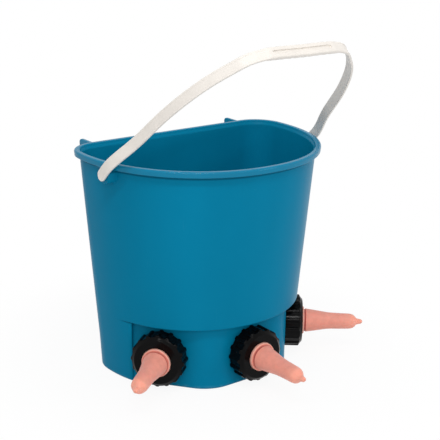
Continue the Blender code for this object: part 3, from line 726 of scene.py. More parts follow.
def wall_edge(sizes, height, turn):
    """Point and outward normal on the curved line of the pail, at a height."""
    sink = sizes.wall_draft * (sizes.height - height)
    width, front, back = sizes.half_width - sink, sizes.front - sink, sizes.back - sink
    power = sizes.squareness
    cosine, sine = math.cos(turn), math.sin(turn)
    x = width * abs(cosine) ** (2 / power)
    if sine < 0:
        y = -front * abs(sine) ** (2 / power)
        normal = Vector(((x / width) ** (power - 1) / width, -((-y / front) ** (power - 1)) / front))
    else:
        y = back * sine
        normal = Vector(((x / width) ** (power - 1) / width, y / back ** 2))
    return Vector((x, y)), normal.normalized()


def wall_point(sizes, height, turn, offset):
    point, normal = wall_edge(sizes, height, turn)
    return point + normal * offset


def turn_on_ray(sizes, height, offset, origin, direction):
    """Turn at which the wall crosses a ray in plan."""
    def before(turn):
        return direction.cross(wall_point(sizes, height, turn, offset) - origin) < 0
    return bisect(-math.pi / 2, math.pi / 3, before)


def corner_turn(sizes, height, flat):
    """Turn at which the wall runs into its back corner."""
    def before(turn):
        return wall_point(sizes, height, turn, -sizes.back_corner).y < flat - sizes.back_corner
    return bisect(0.0, math.pi / 2, before)


def half_width_at(sizes, height, offset, y):
    """Half width of the curved outline at a given Y."""
    def before(turn):
        return wall_point(sizes, height, turn, offset).y < y
    return wall_point(sizes, height, bisect(-math.pi / 2, math.pi / 3, before), offset).x


class Plan:
    """Plan of one face of the pail: three flats below the ledge, and the full curve above."""

    FLAT, BEND, SIDE, CORNER, LEAD, WALL, BACK, REST = 9, 9, 12, 4, 9, 26, 14, 10

    def __init__(self, sizes, inward):
        self.sizes = sizes
        self.inward = inward
        self.offset = sizes.proud - inward
        self.ledge = sizes.ledge + inward
        self.small = sizes.ledge_round + inward * 0.4
        self.out = SIDE_OUT
        self.along = Vector((-SIDE_OUT.y, SIDE_OUT.x))
        self.front_seat, self.side_seat = seat_distance("front"), seat_distance("right")
        self.end = sizes.seat_end + inward
        sine, cosine = self.out.x, -self.out.y
        self.straight = (self.side_seat - self.front_seat * cosine) / sine - sizes.seat_bend
        self.side_start = sizes.seat_bend - (self.front_seat - self.side_seat * cosine) / sine
        self.turn = math.asin(sine)
        self.corner = sizes.seat_bend / math.tan(self.turn / 2)
        self.centre = Vector((self.straight, self.corner - self.front_seat))
        self.lead_places = spread(self.end + self.small, self.end + sizes.step_lead, self.LEAD)
        self.lead_walls = [self.wall_over(place, self.ledge, 0.0)[0] for place in self.lead_places]
        self.turns = [turn_on_ray(sizes, self.ledge, self.offset, *ray) for ray in self.rays()]

    def front_flat(self, y):
        """Points from the middle of the front flat to its bend."""
        return [Vector((self.straight * i / self.FLAT, y)) for i in range(self.FLAT + 1)]

    def rays(self):
        """A ray out of each point of the flats, square to them, that finds its point on the wall."""
        rays = [(point, Vector((0, -1))) for point in self.front_flat(0.0)]
        for turn in spread(0.0, self.turn, self.BEND):
            rays.append((self.centre, Vector((math.sin(turn), -math.cos(turn)))))
        near, far = self.end - self.small, self.end + self.small
        places = spread(self.side_start, near, self.SIDE) + spread(near, far, 2 * self.CORNER - 1)
        return rays + [(self.along * place, self.out) for place in places + self.lead_places]

    def wall_over(self, place, height, inset):
        """Distance out to the wall, and its turn, beside a side teat."""
        offset = self.offset - inset
        turn = turn_on_ray(self.sizes, height, offset, self.along * place, self.out)
        return wall_point(self.sizes, height, turn, offset).dot(self.out), turn

    def low(self, height, inset=0.0):
        """Half of the outline under the ledge, from the front to the middle of the back."""
        shift = self.inward + inset
        half = self.front_flat(shift - self.front_seat)
        for turn in spread(0.0, self.turn, self.BEND):
            half.append(self.centre + Vector((math.sin(turn), -math.cos(turn))) * (self.corner - shift))
        out, small, depth = self.side_seat - shift, self.small, self.sizes.step_depth
        leads, last = [], 0.0
        for place, wall in zip(self.lead_places, self.lead_walls):
            here, last = self.wall_over(place, height, inset)
            part = (place - self.end) / self.sizes.step_lead
            leads.append((place, min(wall - inset - depth * (1 - part), here)))
        step = leads[0][1]
        places = [(place, out) for place in spread(self.side_start, self.end - small, self.SIDE)]
        places += arc((self.end - small, out + small), small, -90, 0, self.CORNER)[1:]
        places += arc((self.end + small, step - small), small, 180, 90, self.CORNER)
        half += [self.along * place + self.out * reach for place, reach in places + leads]
        return half + self.rest(height, self.offset - inset, last)

    def high(self, height, offset=None):
        """Half of the full outline, from the front to the middle of the back."""
        offset = self.offset if offset is None else offset
        half = [wall_point(self.sizes, height, turn, offset) for turn in self.turns]
        return half + self.rest(height, offset, self.turns[-1])

    def rest(self, height, offset, start):
        """Side wall, back corner and half of the flat back."""
        sizes = self.sizes
        flat = sizes.back_flat - sizes.back_draft * (sizes.height - height)
        stop = corner_turn(sizes, height, flat)
        half = [wall_point(sizes, height, turn, offset) for turn in spread(start, stop, self.WALL)]
        point, normal = wall_edge(sizes, height, stop)
        first = math.degrees(math.atan2(normal.y, normal.x))
        corner = arc(point - normal * sizes.back_corner, sizes.back_corner + offset, first, 90, self.BACK)[1:]
        half += [Vector(p) for p in corner]
        return half + [Vector((x, flat + offset)) for x in spread(half[-1].x, 0.0, self.REST)]

    def across_ledge(self):
        """Rings over the ledge, both of its edges rounded, going up."""
        low, high = self.low(self.ledge), self.high(self.ledge)
        rows = []
        for a, b in zip(low, high):
            way = b - a
            size = min(self.small, way.length * 0.45)
            way = way.normalized() if size > 1e-6 else Vector((0, 0))
            inner = arc((size, -size), size, 180, 90, 5)
            outer = [(x, z) for z, x in arc((size, -size), size, 180, 90, 5)]
            row = [(a + way * out, self.ledge + up) for out, up in inner]
            row += [(b + way * (out + self.sizes.wall_draft * up), self.ledge + up) for out, up in outer]
            rows.append(row)
        return [whole([(p.x, p.y, z) for p, z in ring]) for ring in zip(*rows)]


def whole(points):
    """Ring from the half that runs from the front to the back."""
    return points + [(-x, y, z) for x, y, z in reversed(points[1:-1])]


def level(half, height):
    return whole([(p.x, p.y, height) for p in half])


def lip_profile(sizes):
    """Offset and height along the turned-down lip, from the wall to its top."""
    top, under, foot = sizes.height, sizes.height - sizes.lip_wall, sizes.height - sizes.lip_height
    fillet, tight, large = sizes.lip_wall * 0.6, sizes.lip_wall * 0.35, sizes.lip_round
    out, inside = sizes.lip_out, sizes.lip_out - sizes.lip_wall
    points = arc((sizes.proud + fillet, under - fillet), fillet, 180, 90, 5)
    points += arc((inside - tight, under - tight), tight, 90, 0, 4)
    points += arc((inside + tight, foot + tight), tight, 180, 270, 5)
    points += arc((out - tight, foot + tight), tight, 270, 360, 5)
    return points + arc((out - large, top - large), large, 0, 90, 9)


def shell_rings(sizes):
    """Outside of the pail, from its recessed underside to the top of the lip."""
    plan = Plan(sizes, 0.0)
    foot, recess, small = sizes.foot_round, sizes.foot_recess, sizes.ledge_round
    edge = foot + sizes.foot_ring
    profile = [(edge + 3 * recess, recess), (edge + recess, recess),
               (edge + recess / 2, recess * 0.8), (edge, 0.0)]
    profile += [(-out, lift) for out, lift in arc((-foot, foot), foot, -90, 0, 7)]
    profile += [(0.0, height) for height in spread(foot, plan.ledge - 2 * small, 6)]
    rings = [level(plan.low(height, inset), height) for inset, height in profile]
    rings += plan.across_ledge()
    lip = lip_profile(sizes)
    rings += [level(plan.high(height), height) for height in spread(plan.ledge + 2 * small, lip[0][1], 15)]
    rings += [level(plan.high(height, offset), height) for offset, height in lip[1:]]
    return rings + [level(plan.high(sizes.height, -sizes.wall), sizes.height)]


def cavity_rings(sizes):
    """Inside of the pail, opened a little at the mouth."""
    plan = Plan(sizes, sizes.wall)
    foot, edge, top, small = sizes.foot_round * 0.7, sizes.mouth_round, sizes.height, plan.small
    profile = [(-out, lift) for out, lift in arc((-foot, sizes.floor + foot), foot, -90, 0, 6)]
    profile += [(0.0, height) for height in spread(sizes.floor + foot, plan.ledge - 2 * small, 6)]
    rings = [level(plan.low(height, inset), height) for inset, height in profile]
    rings += plan.across_ledge()
    start, stop = top - 4 * edge, top - edge
    rings += [level(plan.high(height), height) for height in spread(plan.ledge + 2 * small, start, 14)]
    mouth = [(plan.offset * (1 - ease(part)), mix(start, stop, part)) for part in spread(0.0, 1.0, 5)]
    mouth += arc((edge, stop), edge, 180, 90, 7)[1:] + [(edge, top + edge)]
    return rings + [level(plan.high(height, offset), height) for offset, height in mouth]


def lug_face(scene):
    """Distance from the middle to the outer face of a lug."""
    pail = scene.feeder_pail
    return half_width_at(pail, pail.height, pail.lip_out, PIVOT.y) + scene.feeder_lugs.proud


LUG_SINK = 0.0004


def lug_shape(pail, sizes, face, side):
    """Lug under the lip that a stud of the bail snaps into."""
    under = pail.height - pail.lip_height + LUG_SINK
    top = under + 2 * sizes.edge
    front, back, bottom = PIVOT.y - sizes.ahead, PIVOT.y + sizes.behind, PIVOT.z - sizes.below
    corner, flare, fillet = sizes.corner, sizes.flare, sizes.fillet
    outline = [(back + flare, top), (front - fillet, top)]
    outline += arc((front - fillet, under - fillet), fillet, 90, 0, 6)
    outline += arc((front + corner, bottom + corner), corner, 180, 270, 9)
    outline += arc((back - corner, bottom + corner), corner, 270, 360, 9)
    outline += arc((back + flare, under - flare), flare, 180, 90, 10)
    inner = pail.half_width - 2.5 * pail.lip_out
    return extruded(outline, side * inner, side * face, sizes.edge)


def pocket_shape(pail, sizes, face, side):
    """Space behind the lug's plate, open below, for the stud's head."""
    low, high = PIVOT.z - 2 * sizes.below, PIVOT.z + sizes.pocket
    front, back = PIVOT.y - sizes.pocket, PIVOT.y + sizes.pocket
    outline = rounded([(front, low), (back, low), (back, high), (front, high)],
                      [0, 0, pail.lip_wall, pail.lip_wall])
    wall = half_width_at(pail, pail.height, pail.proud, back)
    return extruded(outline, side * wall, side * (face - sizes.plate))


def hook_shape(pail, sizes, side):
    """Flat hook that hangs the pail on a rail."""
    top = pail.height - sizes.hook_top
    lip = pail.back_flat + pail.lip_out
    inner = lip + sizes.hook_gap
    outer = inner + sizes.hook_leg
    bottom, arm = top - sizes.hook_drop, top - sizes.hook_arm
    root, big, small = pail.back_flat - pail.back_corner / 4, sizes.hook_round, sizes.hook_tip * 0.4
    outline = rounded([(root, top), (outer, top), (inner + sizes.hook_tip, bottom), (inner, bottom),
                       (inner, arm), (lip, arm), (root, arm - pail.lip_out)],
                      [0, big, small, small, big, big, 0], 7)
    middle, half = side * sizes.hook_place, sizes.hook_thick / 2
    return extruded(outline, middle - half, middle + half, sizes.edge)


def build_pail(scene):
    pail, sizes, face = scene.feeder_pail, scene.feeder_lugs, lug_face(scene)
    shell = made_object("pail", skin(shell_rings(pail)), finish_for("teal_plastic"))
    tools = []
    for side in (-1, 1):
        tools.append((made_object("lug", lug_shape(pail, sizes, face, side)), "UNION"))
        tools.append((made_object("hook", hook_shape(pail, sizes, side)), "UNION"))
    tools.append((made_object("cavity", skin(cavity_rings(pail))), "DIFFERENCE"))
    for side in (-1, 1):
        tools.append((made_object("pocket", pocket_shape(pail, sizes, face, side)), "DIFFERENCE"))
        hole = extruded(arc((PIVOT.y, PIVOT.z), sizes.hole, 0, 351, 40),
                        side * (face - 1.5 * sizes.plate), side * (face + sizes.plate))
        tools.append((made_object("stud hole", hole), "DIFFERENCE"))
    for station in STATIONS:
        reach = 4 * pail.wall
        profile = [(0, -reach), (pail.hole, -reach), (pail.hole, reach / 2), (0, reach / 2)]
        bore = turned(profile, closed=False)
        tools.append((made_object("bore", move(bore, station_matrix(station))), "DIFFERENCE"))
    seat(combine(shell, tools), "bucket", "bucket_shell")


# The bail

def strap_place(sizes, face):
    """Distance from the middle to the middle of the strap, beside a lug."""
    return face + sizes.clearance + sizes.thick / 2


def bail_curve(sizes, face):
    """Fine middle line of the bail, from the pivot over the grip, in the bail's own plane."""
    strap = strap_place(sizes, face)
    points = [(strap, 0.0), (strap, sizes.straight)]
    points += [(strap - lean, height) for lean, height in (sizes.leg_low, sizes.leg_middle, sizes.leg_high)]
    shoulder = (sizes.shoulder_low, sizes.shoulder_middle, sizes.shoulder_high)
    points += [(half, sizes.reach - drop) for half, drop in shoulder]
    points += [(0.0, sizes.reach), (-points[-1][0], points[-1][1])]
    return through([Vector(point) for point in points], 14)


def curve_height(curve, x):
    """Height of the line over a place along the grip."""
    for a, b in zip(curve, curve[1:]):
        if b.x <= x <= a.x:
            return a.y + (b.y - a.y) * (a.x - x) / (a.x - b.x)
    raise ValueError("the line does not reach that place")


END_TURNS = (86.5, 84, 80, 75, 68, 60, 50, 40, 28, 14)
GRIP_STEP = 0.0008


def bail_line(sizes, face):
    """Middle line of half the bail from its rounded end up to the middle of the grip."""
    curve = bail_curve(sizes, face)
    strap, half = curve[0].x, sizes.width / 2
    ends = [Vector((strap, -half * math.sin(math.radians(turn)))) for turn in END_TURNS]
    slot, radius = sizes.channel_half, sizes.channel / 2
    first = sizes.grip_half + sizes.grip_blend
    grip = [first - i * GRIP_STEP for i in range(int((first - slot) / GRIP_STEP))]
    grip += [slot - radius * (1 - math.cos(math.radians(turn))) for turn in range(0, 91, 10)]
    grip += spread(slot - radius, 0.0, int((slot - radius) / GRIP_STEP))
    legs = [point for point in curve if point.x > first + sizes.thick]
    return ends + legs + [Vector((x, curve_height(curve, x))) for x in grip]


def channel_section(sizes, x, top):
    """From the edge of the grip's channel down to its bed, or beside it over the plain top."""
    radius, inside = sizes.channel / 2, sizes.channel_half - abs(x)
    if inside < 0:
        return [(top * part, 0.0) for part in (0.66, 0.53, 0.4, 0.26, 0.12)]
    slot = math.sqrt(max(radius ** 2 - max(radius - inside, 0.0) ** 2, 0.0))
    if slot <= TINY:
        return [(0.0, 0.0)] * 5
    edge, bed = 0.15 * slot, min(0.3 * slot, 0.0003)
    return [(slot + edge, 0.0), (slot + 0.3 * edge, -0.3 * edge), (slot, -edge),
            (slot - bed / 3, bed - sizes.channel_depth), (slot - bed, -sizes.channel_depth)]


def bail_section(sizes, point, tangent):
    """Ring of the strap's section round a point: rounded edges, a channel outside and ribs inside."""
    outward = Vector((tangent.y, 0.0, -tangent.x))
    blend = ease((sizes.grip_half + sizes.grip_blend - abs(point.x)) / sizes.grip_blend)
    wide = mix(sizes.width, sizes.grip_width, blend) / 2
    thick = mix(sizes.thick, sizes.grip_thick, blend) / 2
    edge = mix(sizes.edge, sizes.edge * 1.5, blend)
    drop = max(-point.y, 0.0)
    wave = 0.5 + 0.5 * math.cos(math.tau * sizes.finger_ribs * point.x / (2 * sizes.grip_half))
    under = thick + sizes.finger_rib * wave * ease((sizes.grip_half - abs(point.x)) / sizes.grip_blend)
    corner = []
    for turn in (0, 22.5, 45, 67.5, 90):
        across, up = wide - edge + edge * math.cos(math.radians(turn)), edge * math.sin(math.radians(turn))
        if across < drop:
            up = math.sqrt(max(edge ** 2 - (drop - wide + edge) ** 2, 0.0))
        corner.append((math.sqrt(max(across ** 2 - drop ** 2, 0.0)), up - edge))
    across = channel_section(sizes, point.x, corner[-1][0])
    rim = corner[-1][0] - sizes.rim
    sunk = sizes.rim_height * ease((rim - sizes.rim) / sizes.rim) * (1 - blend)
    slope = [(rim + sunk, 0.0), (rim, -sunk / 2), (rim - sunk / 2, -sunk)]
    side = [(y, -under - up) for y, up in reversed(corner)] + [(y, thick + up) for y, up in corner]
    side += [(max(y, across[0][0]), thick + up) for y, up in slope]
    side += [(y, thick - sunk + up) for y, up in across]
    ring = side + [(-y, out) for y, out in reversed(side)]
    middle = Vector((point.x, 0.0, point.y))
    return [middle + Vector((0, y, 0)) + outward * out for y, out in ring]


def stud_shape(scene, side):
    """Stud that snaps through a lug, headed behind the lug's plate."""
    sizes, face = scene.feeder_bail, lug_face(scene)
    strap = strap_place(sizes, face)
    inside = face - scene.feeder_lugs.plate - scene.feeder_fittings.gap
    end = inside - sizes.stud_head_long
    profile = rounded([(0, strap), (sizes.stud, strap), (sizes.stud, inside), (sizes.stud_head, inside),
                       (sizes.stud_head, mix(inside, end, 0.4)), (sizes.stud, end), (0, end)],
                      [0, 0, 0.0003, 0.0002, 0.0005, 0.0006, 0])
    return move(turned(profile, 48, closed=False), Matrix.Rotation(side * math.pi / 2, 4, "Y"))


def build_bail(scene):
    sizes = scene.feeder_bail
    half = bail_line(sizes, lug_face(scene))
    line = half + [Vector((-point.x, point.y)) for point in reversed(half[:-1])]
    rings = []
    for i, point in enumerate(line):
        before, after = line[max(i - 1, 0)], line[min(i + 1, len(line) - 1)]
        rings.append(bail_section(sizes, point, (after - before).normalized()))
    bail = made_object("bail", skin(rings), finish_for("cream_plastic"))
    combine(bail, [(made_object("stud", stud_shape(scene, side)), "UNION") for side in (-1, 1)])
    bail.data.transform(Matrix.Translation(PIVOT) @ Matrix.Rotation(sizes.lean, 4, "X"))
    seat(bail, "handle", "handle")


# Nuts, teats and valves

def helix(sizes, height, turn):
    """Share of the thread's depth at a place on a right-handed thread."""
    phase = (height / sizes.pitch - turn / math.tau) % 1.0
    return min(max((abs(2 * phase - 1) - 0.3) / 0.4, 0.0), 1.0)


def lathe(profile, radius_at, steps):
    """Closed skin round Z whose radius may change round the axis."""
    rings = []
    for radius, height in profile:
        turns = [math.tau * i / steps for i in range(steps)]
        radii = [radius_at(radius, height, turn) for turn in turns]
        rings.append([(r * math.cos(turn), r * math.sin(turn), height) for r, turn in zip(radii, turns)])
    return skin(rings, closed=True)


def nut_shape(sizes):
    """Collar nut: grip ribs with rounded ends, a bevelled face and a thread inside."""
    outer, low, shoulder = sizes.bore + sizes.nut_wall, sizes.gap, NUT_FACE - sizes.nut_top
    bevel, rib_end = sizes.bevel, NUT_FACE - sizes.bevel * 1.25
    profile = rounded([(sizes.bore, low), (outer, low), (outer, NUT_FACE - bevel * 1.15),
                       (outer - 0.25 * bevel, NUT_FACE - bevel), (outer - 1.4 * bevel, NUT_FACE),
                       (sizes.opening, NUT_FACE), (sizes.opening, shoulder), (sizes.bore, shoulder)],
                      [0.0003, 0.0006, 0.0002, 0.0005, 0.0004, 0.0005, 0.0003, 0.0003])
    pitch = math.tau / sizes.ribs
    rib_half, rib_slope = 0.235, 0.1

    def radius_at(radius, height, turn):
        if radius > outer - 0.0007 and height < rib_end:
            aside = abs((turn + pitch / 2) % pitch - pitch / 2) / pitch
            up = max(height - rib_end + sizes.rib_nub, 0.0) / sizes.rib_nub
            return radius + sizes.rib * ease((rib_half - aside) / rib_slope) * math.sqrt(1 - up * up)
        if radius < sizes.bore + TINY and low + sizes.thread < height < shoulder - sizes.thread:
            return radius + sizes.thread * helix(sizes, height, turn)
        return radius

    return lathe(refined(profile, PROFILE_STEP), radius_at, sizes.ribs * 12)


def valve_seat(sizes, pail):
    """Height of the foot and of the top of the cone that the ball sits on."""
    foot = -pail.wall - sizes.washer - 3 * sizes.gap
    return foot, foot + (sizes.chamber - sizes.inlet) * sizes.slope


def spigot_shape(sizes, pail):
    """Threaded body of the valve, its notched flange inside the pail."""
    foot, cone = valve_seat(sizes, pail)
    face = foot + sizes.gap
    back, pocket = face - sizes.flange_thick, sizes.stand - sizes.cage_thick - sizes.gap
    profile = rounded([(sizes.inlet, back), (sizes.flange, back), (sizes.flange, face), (sizes.spigot, face),
                       (sizes.spigot, sizes.stand), (sizes.cage + sizes.gap, sizes.stand),
                       (sizes.cage + sizes.gap, pocket), (sizes.chamber, pocket), (sizes.chamber, cone),
                       (sizes.inlet, foot)],
                      [0.0006, 0.0009, 0.0004, 0.0003, 0.0007, 0.0004, 0.0002, 0.0004, 0.0003, 0.0003])
    notches, notch_depth, notch_half, notch_slope = 6, 0.0016, 0.10, 0.06

    def radius_at(radius, height, turn):
        if radius > sizes.flange - 0.001 and height < face:
            aside = abs((turn * notches / math.tau) % 1.0 - 0.5)
            return radius - notch_depth * ease((notch_half - aside) / notch_slope)
        if radius > sizes.spigot - TINY and height > sizes.thread:
            return radius - sizes.thread * helix(sizes, height, turn)
        return radius

    return lathe(refined(profile, PROFILE_STEP), radius_at, 144)


def washer_shape(sizes, pail):
    """Sealing washer with rounded edges."""
    low, high = -pail.wall - sizes.washer - sizes.gap, -pail.wall - sizes.gap
    profile = [(pail.hole, low), (sizes.flange, low), (sizes.flange, high), (pail.hole, high)]
    return turned(rounded(profile, [0.0004] * 4), 128)


def ball_shape(sizes, pail):
    """Valve ball with the fine seam of its mould and a flat where it was gated."""
    cone = valve_seat(sizes, pail)[1]
    middle = cone - sizes.chamber * sizes.slope + (sizes.ball + sizes.gap) * math.hypot(1, sizes.slope)
    seam, gate = 0.00004, 0.00003
    profile = [(0.0, middle - sizes.ball + gate)]
    for turn in range(-86, 90, 4):
        radius = sizes.ball - seam + (seam if abs(turn) < 3 else 0.0)
        profile += arc((0.0, middle), radius, turn, turn, 2)[:1]
    return turned(profile + [(0.0, middle + sizes.ball - gate)], 64, closed=False)


def build_cage(sizes, station):
    """Ring with a hub and three bars that keeps the ball in and lets milk pass."""
    low, high = sizes.stand - sizes.cage_thick, sizes.stand
    inner, edge = sizes.cage - sizes.cage_bar, 0.0004
    ring = rounded([(inner, low), (sizes.cage, low), (sizes.cage, high), (inner, high)], [edge] * 4)
    cage = made_object("valve_basket_" + station, turned(ring, 96), finish_for("white_plastic"))
    hub = rounded([(0, low), (sizes.cage_hub, low), (sizes.cage_hub, high), (0, high)], [0, edge, edge, 0])
    tools = [(made_object("hub", turned(hub, 48, closed=False)), "UNION")]
    for i in range(3):
        half = sizes.cage_bar / 2
        levels = rounded([(-half, low + sizes.gap), (half, low + sizes.gap), (half, high - sizes.gap),
                          (-half, high - sizes.gap)], [edge] * 4)
        bar = extruded(levels, sizes.cage_hub / 2, inner + sizes.cage_bar / 3)
        turn = Matrix.Rotation(math.tau * i / 3 + math.pi / 2, 4, "Z")
        tools.append((made_object("bar", move(bar, turn)), "UNION"))
    combine(cage, tools)
    cage.data.transform(station_matrix(station))
    return cage


# Radius and distance out of the nut along the teat's barrel and along its inside, in mm
BARREL = ((13.7, 11), (12.3, 21), (11.25, 28), (10.5, 34), (10.05, 42), (9.8, 52), (9.62, 58), (9.3, 61.5),
          (8.55, 64.2), (7.2, 66.2), (5.6, 67.7), (4.4, 68.9), (3.75, 70.2), (3.4, 71.7), (3.1, 73.2),
          (2.85, 74.3), (2.45, 75.1), (2.0, 75.7), (1.45, 76.15), (0.95, 76.4))
BARREL_INSIDE = ((5.4, 63.4), (6.7, 61), (7.2, 57), (7.45, 45), (7.9, 34), (9.2, 24), (10.6, 14), (11.3, 5))
# Dents of each teat: turn round it, distance out of the nut, depth and width
DENTS = {
    "left": ((-0.7, 0.0650, 0.0011, 0.0036), (2.2, 0.0655, 0.0009, 0.0032), (0.9, 0.0575, 0.0004, 0.0060)),
    "front": ((2.6, 0.0662, 0.0012, 0.0030), (0.2, 0.0635, 0.0005, 0.0050), (-1.4, 0.0500, 0.0003, 0.0090)),
    "right": ((0.6, 0.0655, 0.0009, 0.0032), (3.6, 0.0610, 0.0004, 0.0060), (-2.0, 0.0300, 0.0003, 0.0100)),
}


def teat_profile(sizes):
    """Closed profile of the hollow teat: clamped flange, collar, groove, waisted barrel and pointed tip."""
    start = sizes.stand + sizes.gap
    flange_top, collar = start + sizes.teat_flange_thick, sizes.collar
    end = collar + sizes.groove_width
    foot = rounded([(sizes.mouth, start), (sizes.teat_flange, start), (sizes.teat_flange, flange_top),
                    (sizes.neck, flange_top), (sizes.neck, NUT_FACE + collar),
                    (sizes.groove, NUT_FACE + collar + 0.0003), (sizes.groove, NUT_FACE + end),
                    (0.01475, NUT_FACE + end + 0.0006)],
                   [0.0004, 0.0005, 0.0004, 0.0003, 0.0006, 0.0005, 0.0005, 0.0])
    barrel = [(14.75, end / MM + 0.6), (14.5, end / MM + 1.6), *BARREL]
    outer = through([Vector(point) * MM for point in barrel], 4)[1:]
    inner = through([Vector(point) * MM for point in BARREL_INSIDE], 3)
    tip, hole = NUT_FACE + TEAT_REACH - 0.001, sizes.milk_hole
    bite = [(hole, tip), (hole * 0.6, tip - 0.0003), (hole * 0.6, tip - 0.004),
            (0.0016, tip - 0.0065), (0.0022, tip - 0.0105)]
    outer, inner = ([(point.x, NUT_FACE + point.y) for point in line] for line in (outer, inner))
    return foot[:-1] + outer + bite + inner + [(sizes.mouth, NUT_FACE)]


def teat_shape(sizes, station):
    """Soft teat with slight dents near its tip and the seam of a two-part mould."""
    shape = turned(refined(teat_profile(sizes), 0.0011), 144)
    seam_height, seam_width = 0.00012, 0.00035
    for vert in shape.verts:
        radius, along = math.hypot(vert.co.x, vert.co.y), vert.co.z - NUT_FACE
        if along < sizes.collar + sizes.groove_width or radius < TINY:
            continue
        turn = math.atan2(vert.co.y, vert.co.x)
        sink = 0.0
        for at, place, depth, width in DENTS[station]:
            aside = abs((turn - at + math.pi) % math.tau - math.pi) * radius
            near = math.exp(-(aside ** 2 + (along - place) ** 2) / width ** 2)
            sink += depth * near * min(radius / 0.004, 1.0)
        seam = abs((turn + math.pi / 2) % math.pi - math.pi / 2) * radius
        ridge = seam_height * math.exp(-(seam / seam_width) ** 2)
        factor = (radius - sink + ridge) / radius
        vert.co.x *= factor
        vert.co.y *= factor
    return shape


def mark_barrel(mesh):
    """Keep each point's direction round the teat, and its distance out of the nut, for the rubber's bands."""
    layer = mesh.attributes.new("barrel", "FLOAT_VECTOR", "POINT")
    for vert, value in zip(mesh.vertices, layer.data):
        around = Vector((vert.co.x, vert.co.y)).normalized()
        value.vector = (around.x, around.y, vert.co.z - NUT_FACE)


def fit(station, shape, name, slot, body, node):
    """Make a piece, place it on its flat and seat it on its body."""
    moved = move(shape, station_matrix(station))
    seat(made_object(name + "_" + station, moved, finish_for(slot)), body, node + "_" + station)


def build_fittings(scene):
    sizes = scene.feeder_fittings
    for station in STATIONS:
        fit(station, nut_shape(sizes), "collar_nut", "black_plastic", "nut_" + station, "nut")
        teat = made_object("rubber_teat_" + station, teat_shape(sizes, station), finish_for("pink_rubber"))
        mark_barrel(teat.data)
        teat.data.transform(station_matrix(station))
        seat(teat, "teat_" + station, "teat_" + station)


def build_valves(scene):
    sizes, pail = scene.feeder_fittings, scene.feeder_pail
    for station in STATIONS:
        fit(station, spigot_shape(sizes, pail), "threaded_spigot", "black_plastic", "bucket", "spigot")
        fit(station, washer_shape(sizes, pail), "sealing_washer", "grey_rubber", "bucket", "washer")
        fit(station, ball_shape(sizes, pail), "ball_of_valve", "white_plastic", "ball_" + station,
            "valve_ball")
        seat(build_cage(sizes, station), "bucket", "valve_cage_" + station)


# Stage

FLOOR_RADIUS = 3.0
FLOOR_TONES = (0.86, 0.86, 0.86), (0.90, 0.90, 0.90)
# The floor's share of white near the pail, and the distances between which it grows to all white
FLOOR_WHITE, FLOOR_NEAR, FLOOR_FAR = 0.92, 0.14, 0.34
# Azimuth and elevation in degrees as the camera's, distance, width, height and power in watts
LAMPS = {
    "lamp beside the camera": (-37, 27, 1.7, 0.45, 0.45, 2.7),
    "low lamp": (30, 5, 1.7, 0.4, 0.3, 2.4),
    "top lamp": (60, 75, 1.6, 0.9, 0.9, 2.6),
    "strip": (-35, 56, 1.5, 1.1, 0.08, 6.2),
    "spark by the camera": (-30, 32, 1.6, 0.13, 0.06, 1.0),
    "spark on the left": (-70, 64, 1.6, 0.14, 0.07, 1.1),
    "spark on the right": (9, 20, 1.6, 0.06, 0.13, 0.7),
}
LAMP_TARGET = Vector((0, 0, 0.14))


def seen_directly(nodes):
    """1 for rays that show the background: from the camera, in a reflection or through a clear piece."""
    paths = nodes.tree.nodes.new("ShaderNodeLightPath")
    camera, glossy, clear = (Wire(nodes, paths.outputs["Is " + kind + " Ray"])
                             for kind in ("Camera", "Glossy", "Transmission"))
    return (camera + glossy + clear).between(0.0, 1.0)


def floor_finish():
    """Pale floor that fades to white and keeps a soft shadow."""
    finish = Finish("pale floor", Roughness=0.9)
    finish.feed(Base_Color=finish.blend(finish.noise(40.0, 3.0, 0.6), *FLOOR_TONES))
    away = finish.add("ShaderNodeVectorMath", {"operation": "LENGTH"}, {0: finish.place()}, output="Value")
    part = (away.between(FLOOR_NEAR, FLOOR_FAR) * (1.0 - FLOOR_WHITE) + FLOOR_WHITE) * seen_directly(finish)
    plain = Wire(finish, finish.shader.outputs[0])
    white = finish.add("ShaderNodeEmission", {}, {"Strength": 1.0})
    mixed = finish.add("ShaderNodeMixShader", {}, {0: part, 1: plain, 2: white})
    finish.tree.links.new(mixed.socket, finish.tree.nodes["Material Output"].inputs["Surface"])
    return finish.material


def light_world(sky):
    """Even surroundings, white where they are seen or reflected, and softer as light on the object."""
    world = bpy.data.worlds.new("soft surroundings")
    world.use_nodes = True
    bpy.context.scene.world = world
    nodes = Nodes(world.node_tree)
    shader = nodes.tree.nodes["Background"]
    shader.inputs["Color"].default_value = (1.0, 1.0, 1.0, 1.0)
    strength = seen_directly(nodes) * (1.0 - sky) + sky
    nodes.tree.links.new(strength.socket, shader.inputs["Strength"])


def direction_of(azimuth, elevation):
    """Direction towards a place seen from the pail; azimuth 0 is the front."""
    return Vector((math.sin(azimuth) * math.cos(elevation), -math.cos(azimuth) * math.cos(elevation),
                   math.sin(elevation)))


def add_lamp(name, azimuth, elevation, distance, wide, high, power):
    """Area lamp that looks at the pail."""
    data = bpy.data.lights.new(name, "AREA")
    data.shape, data.size, data.size_y, data.energy = "RECTANGLE", wide, high, power
    lamp = bpy.data.objects.new(name, data)
    bpy.context.scene.collection.objects.link(lamp)
    back = direction_of(math.radians(azimuth), math.radians(elevation))
    lamp.location = LAMP_TARGET + back * distance
    lamp.rotation_euler = back.to_track_quat("Z", "Y").to_euler()


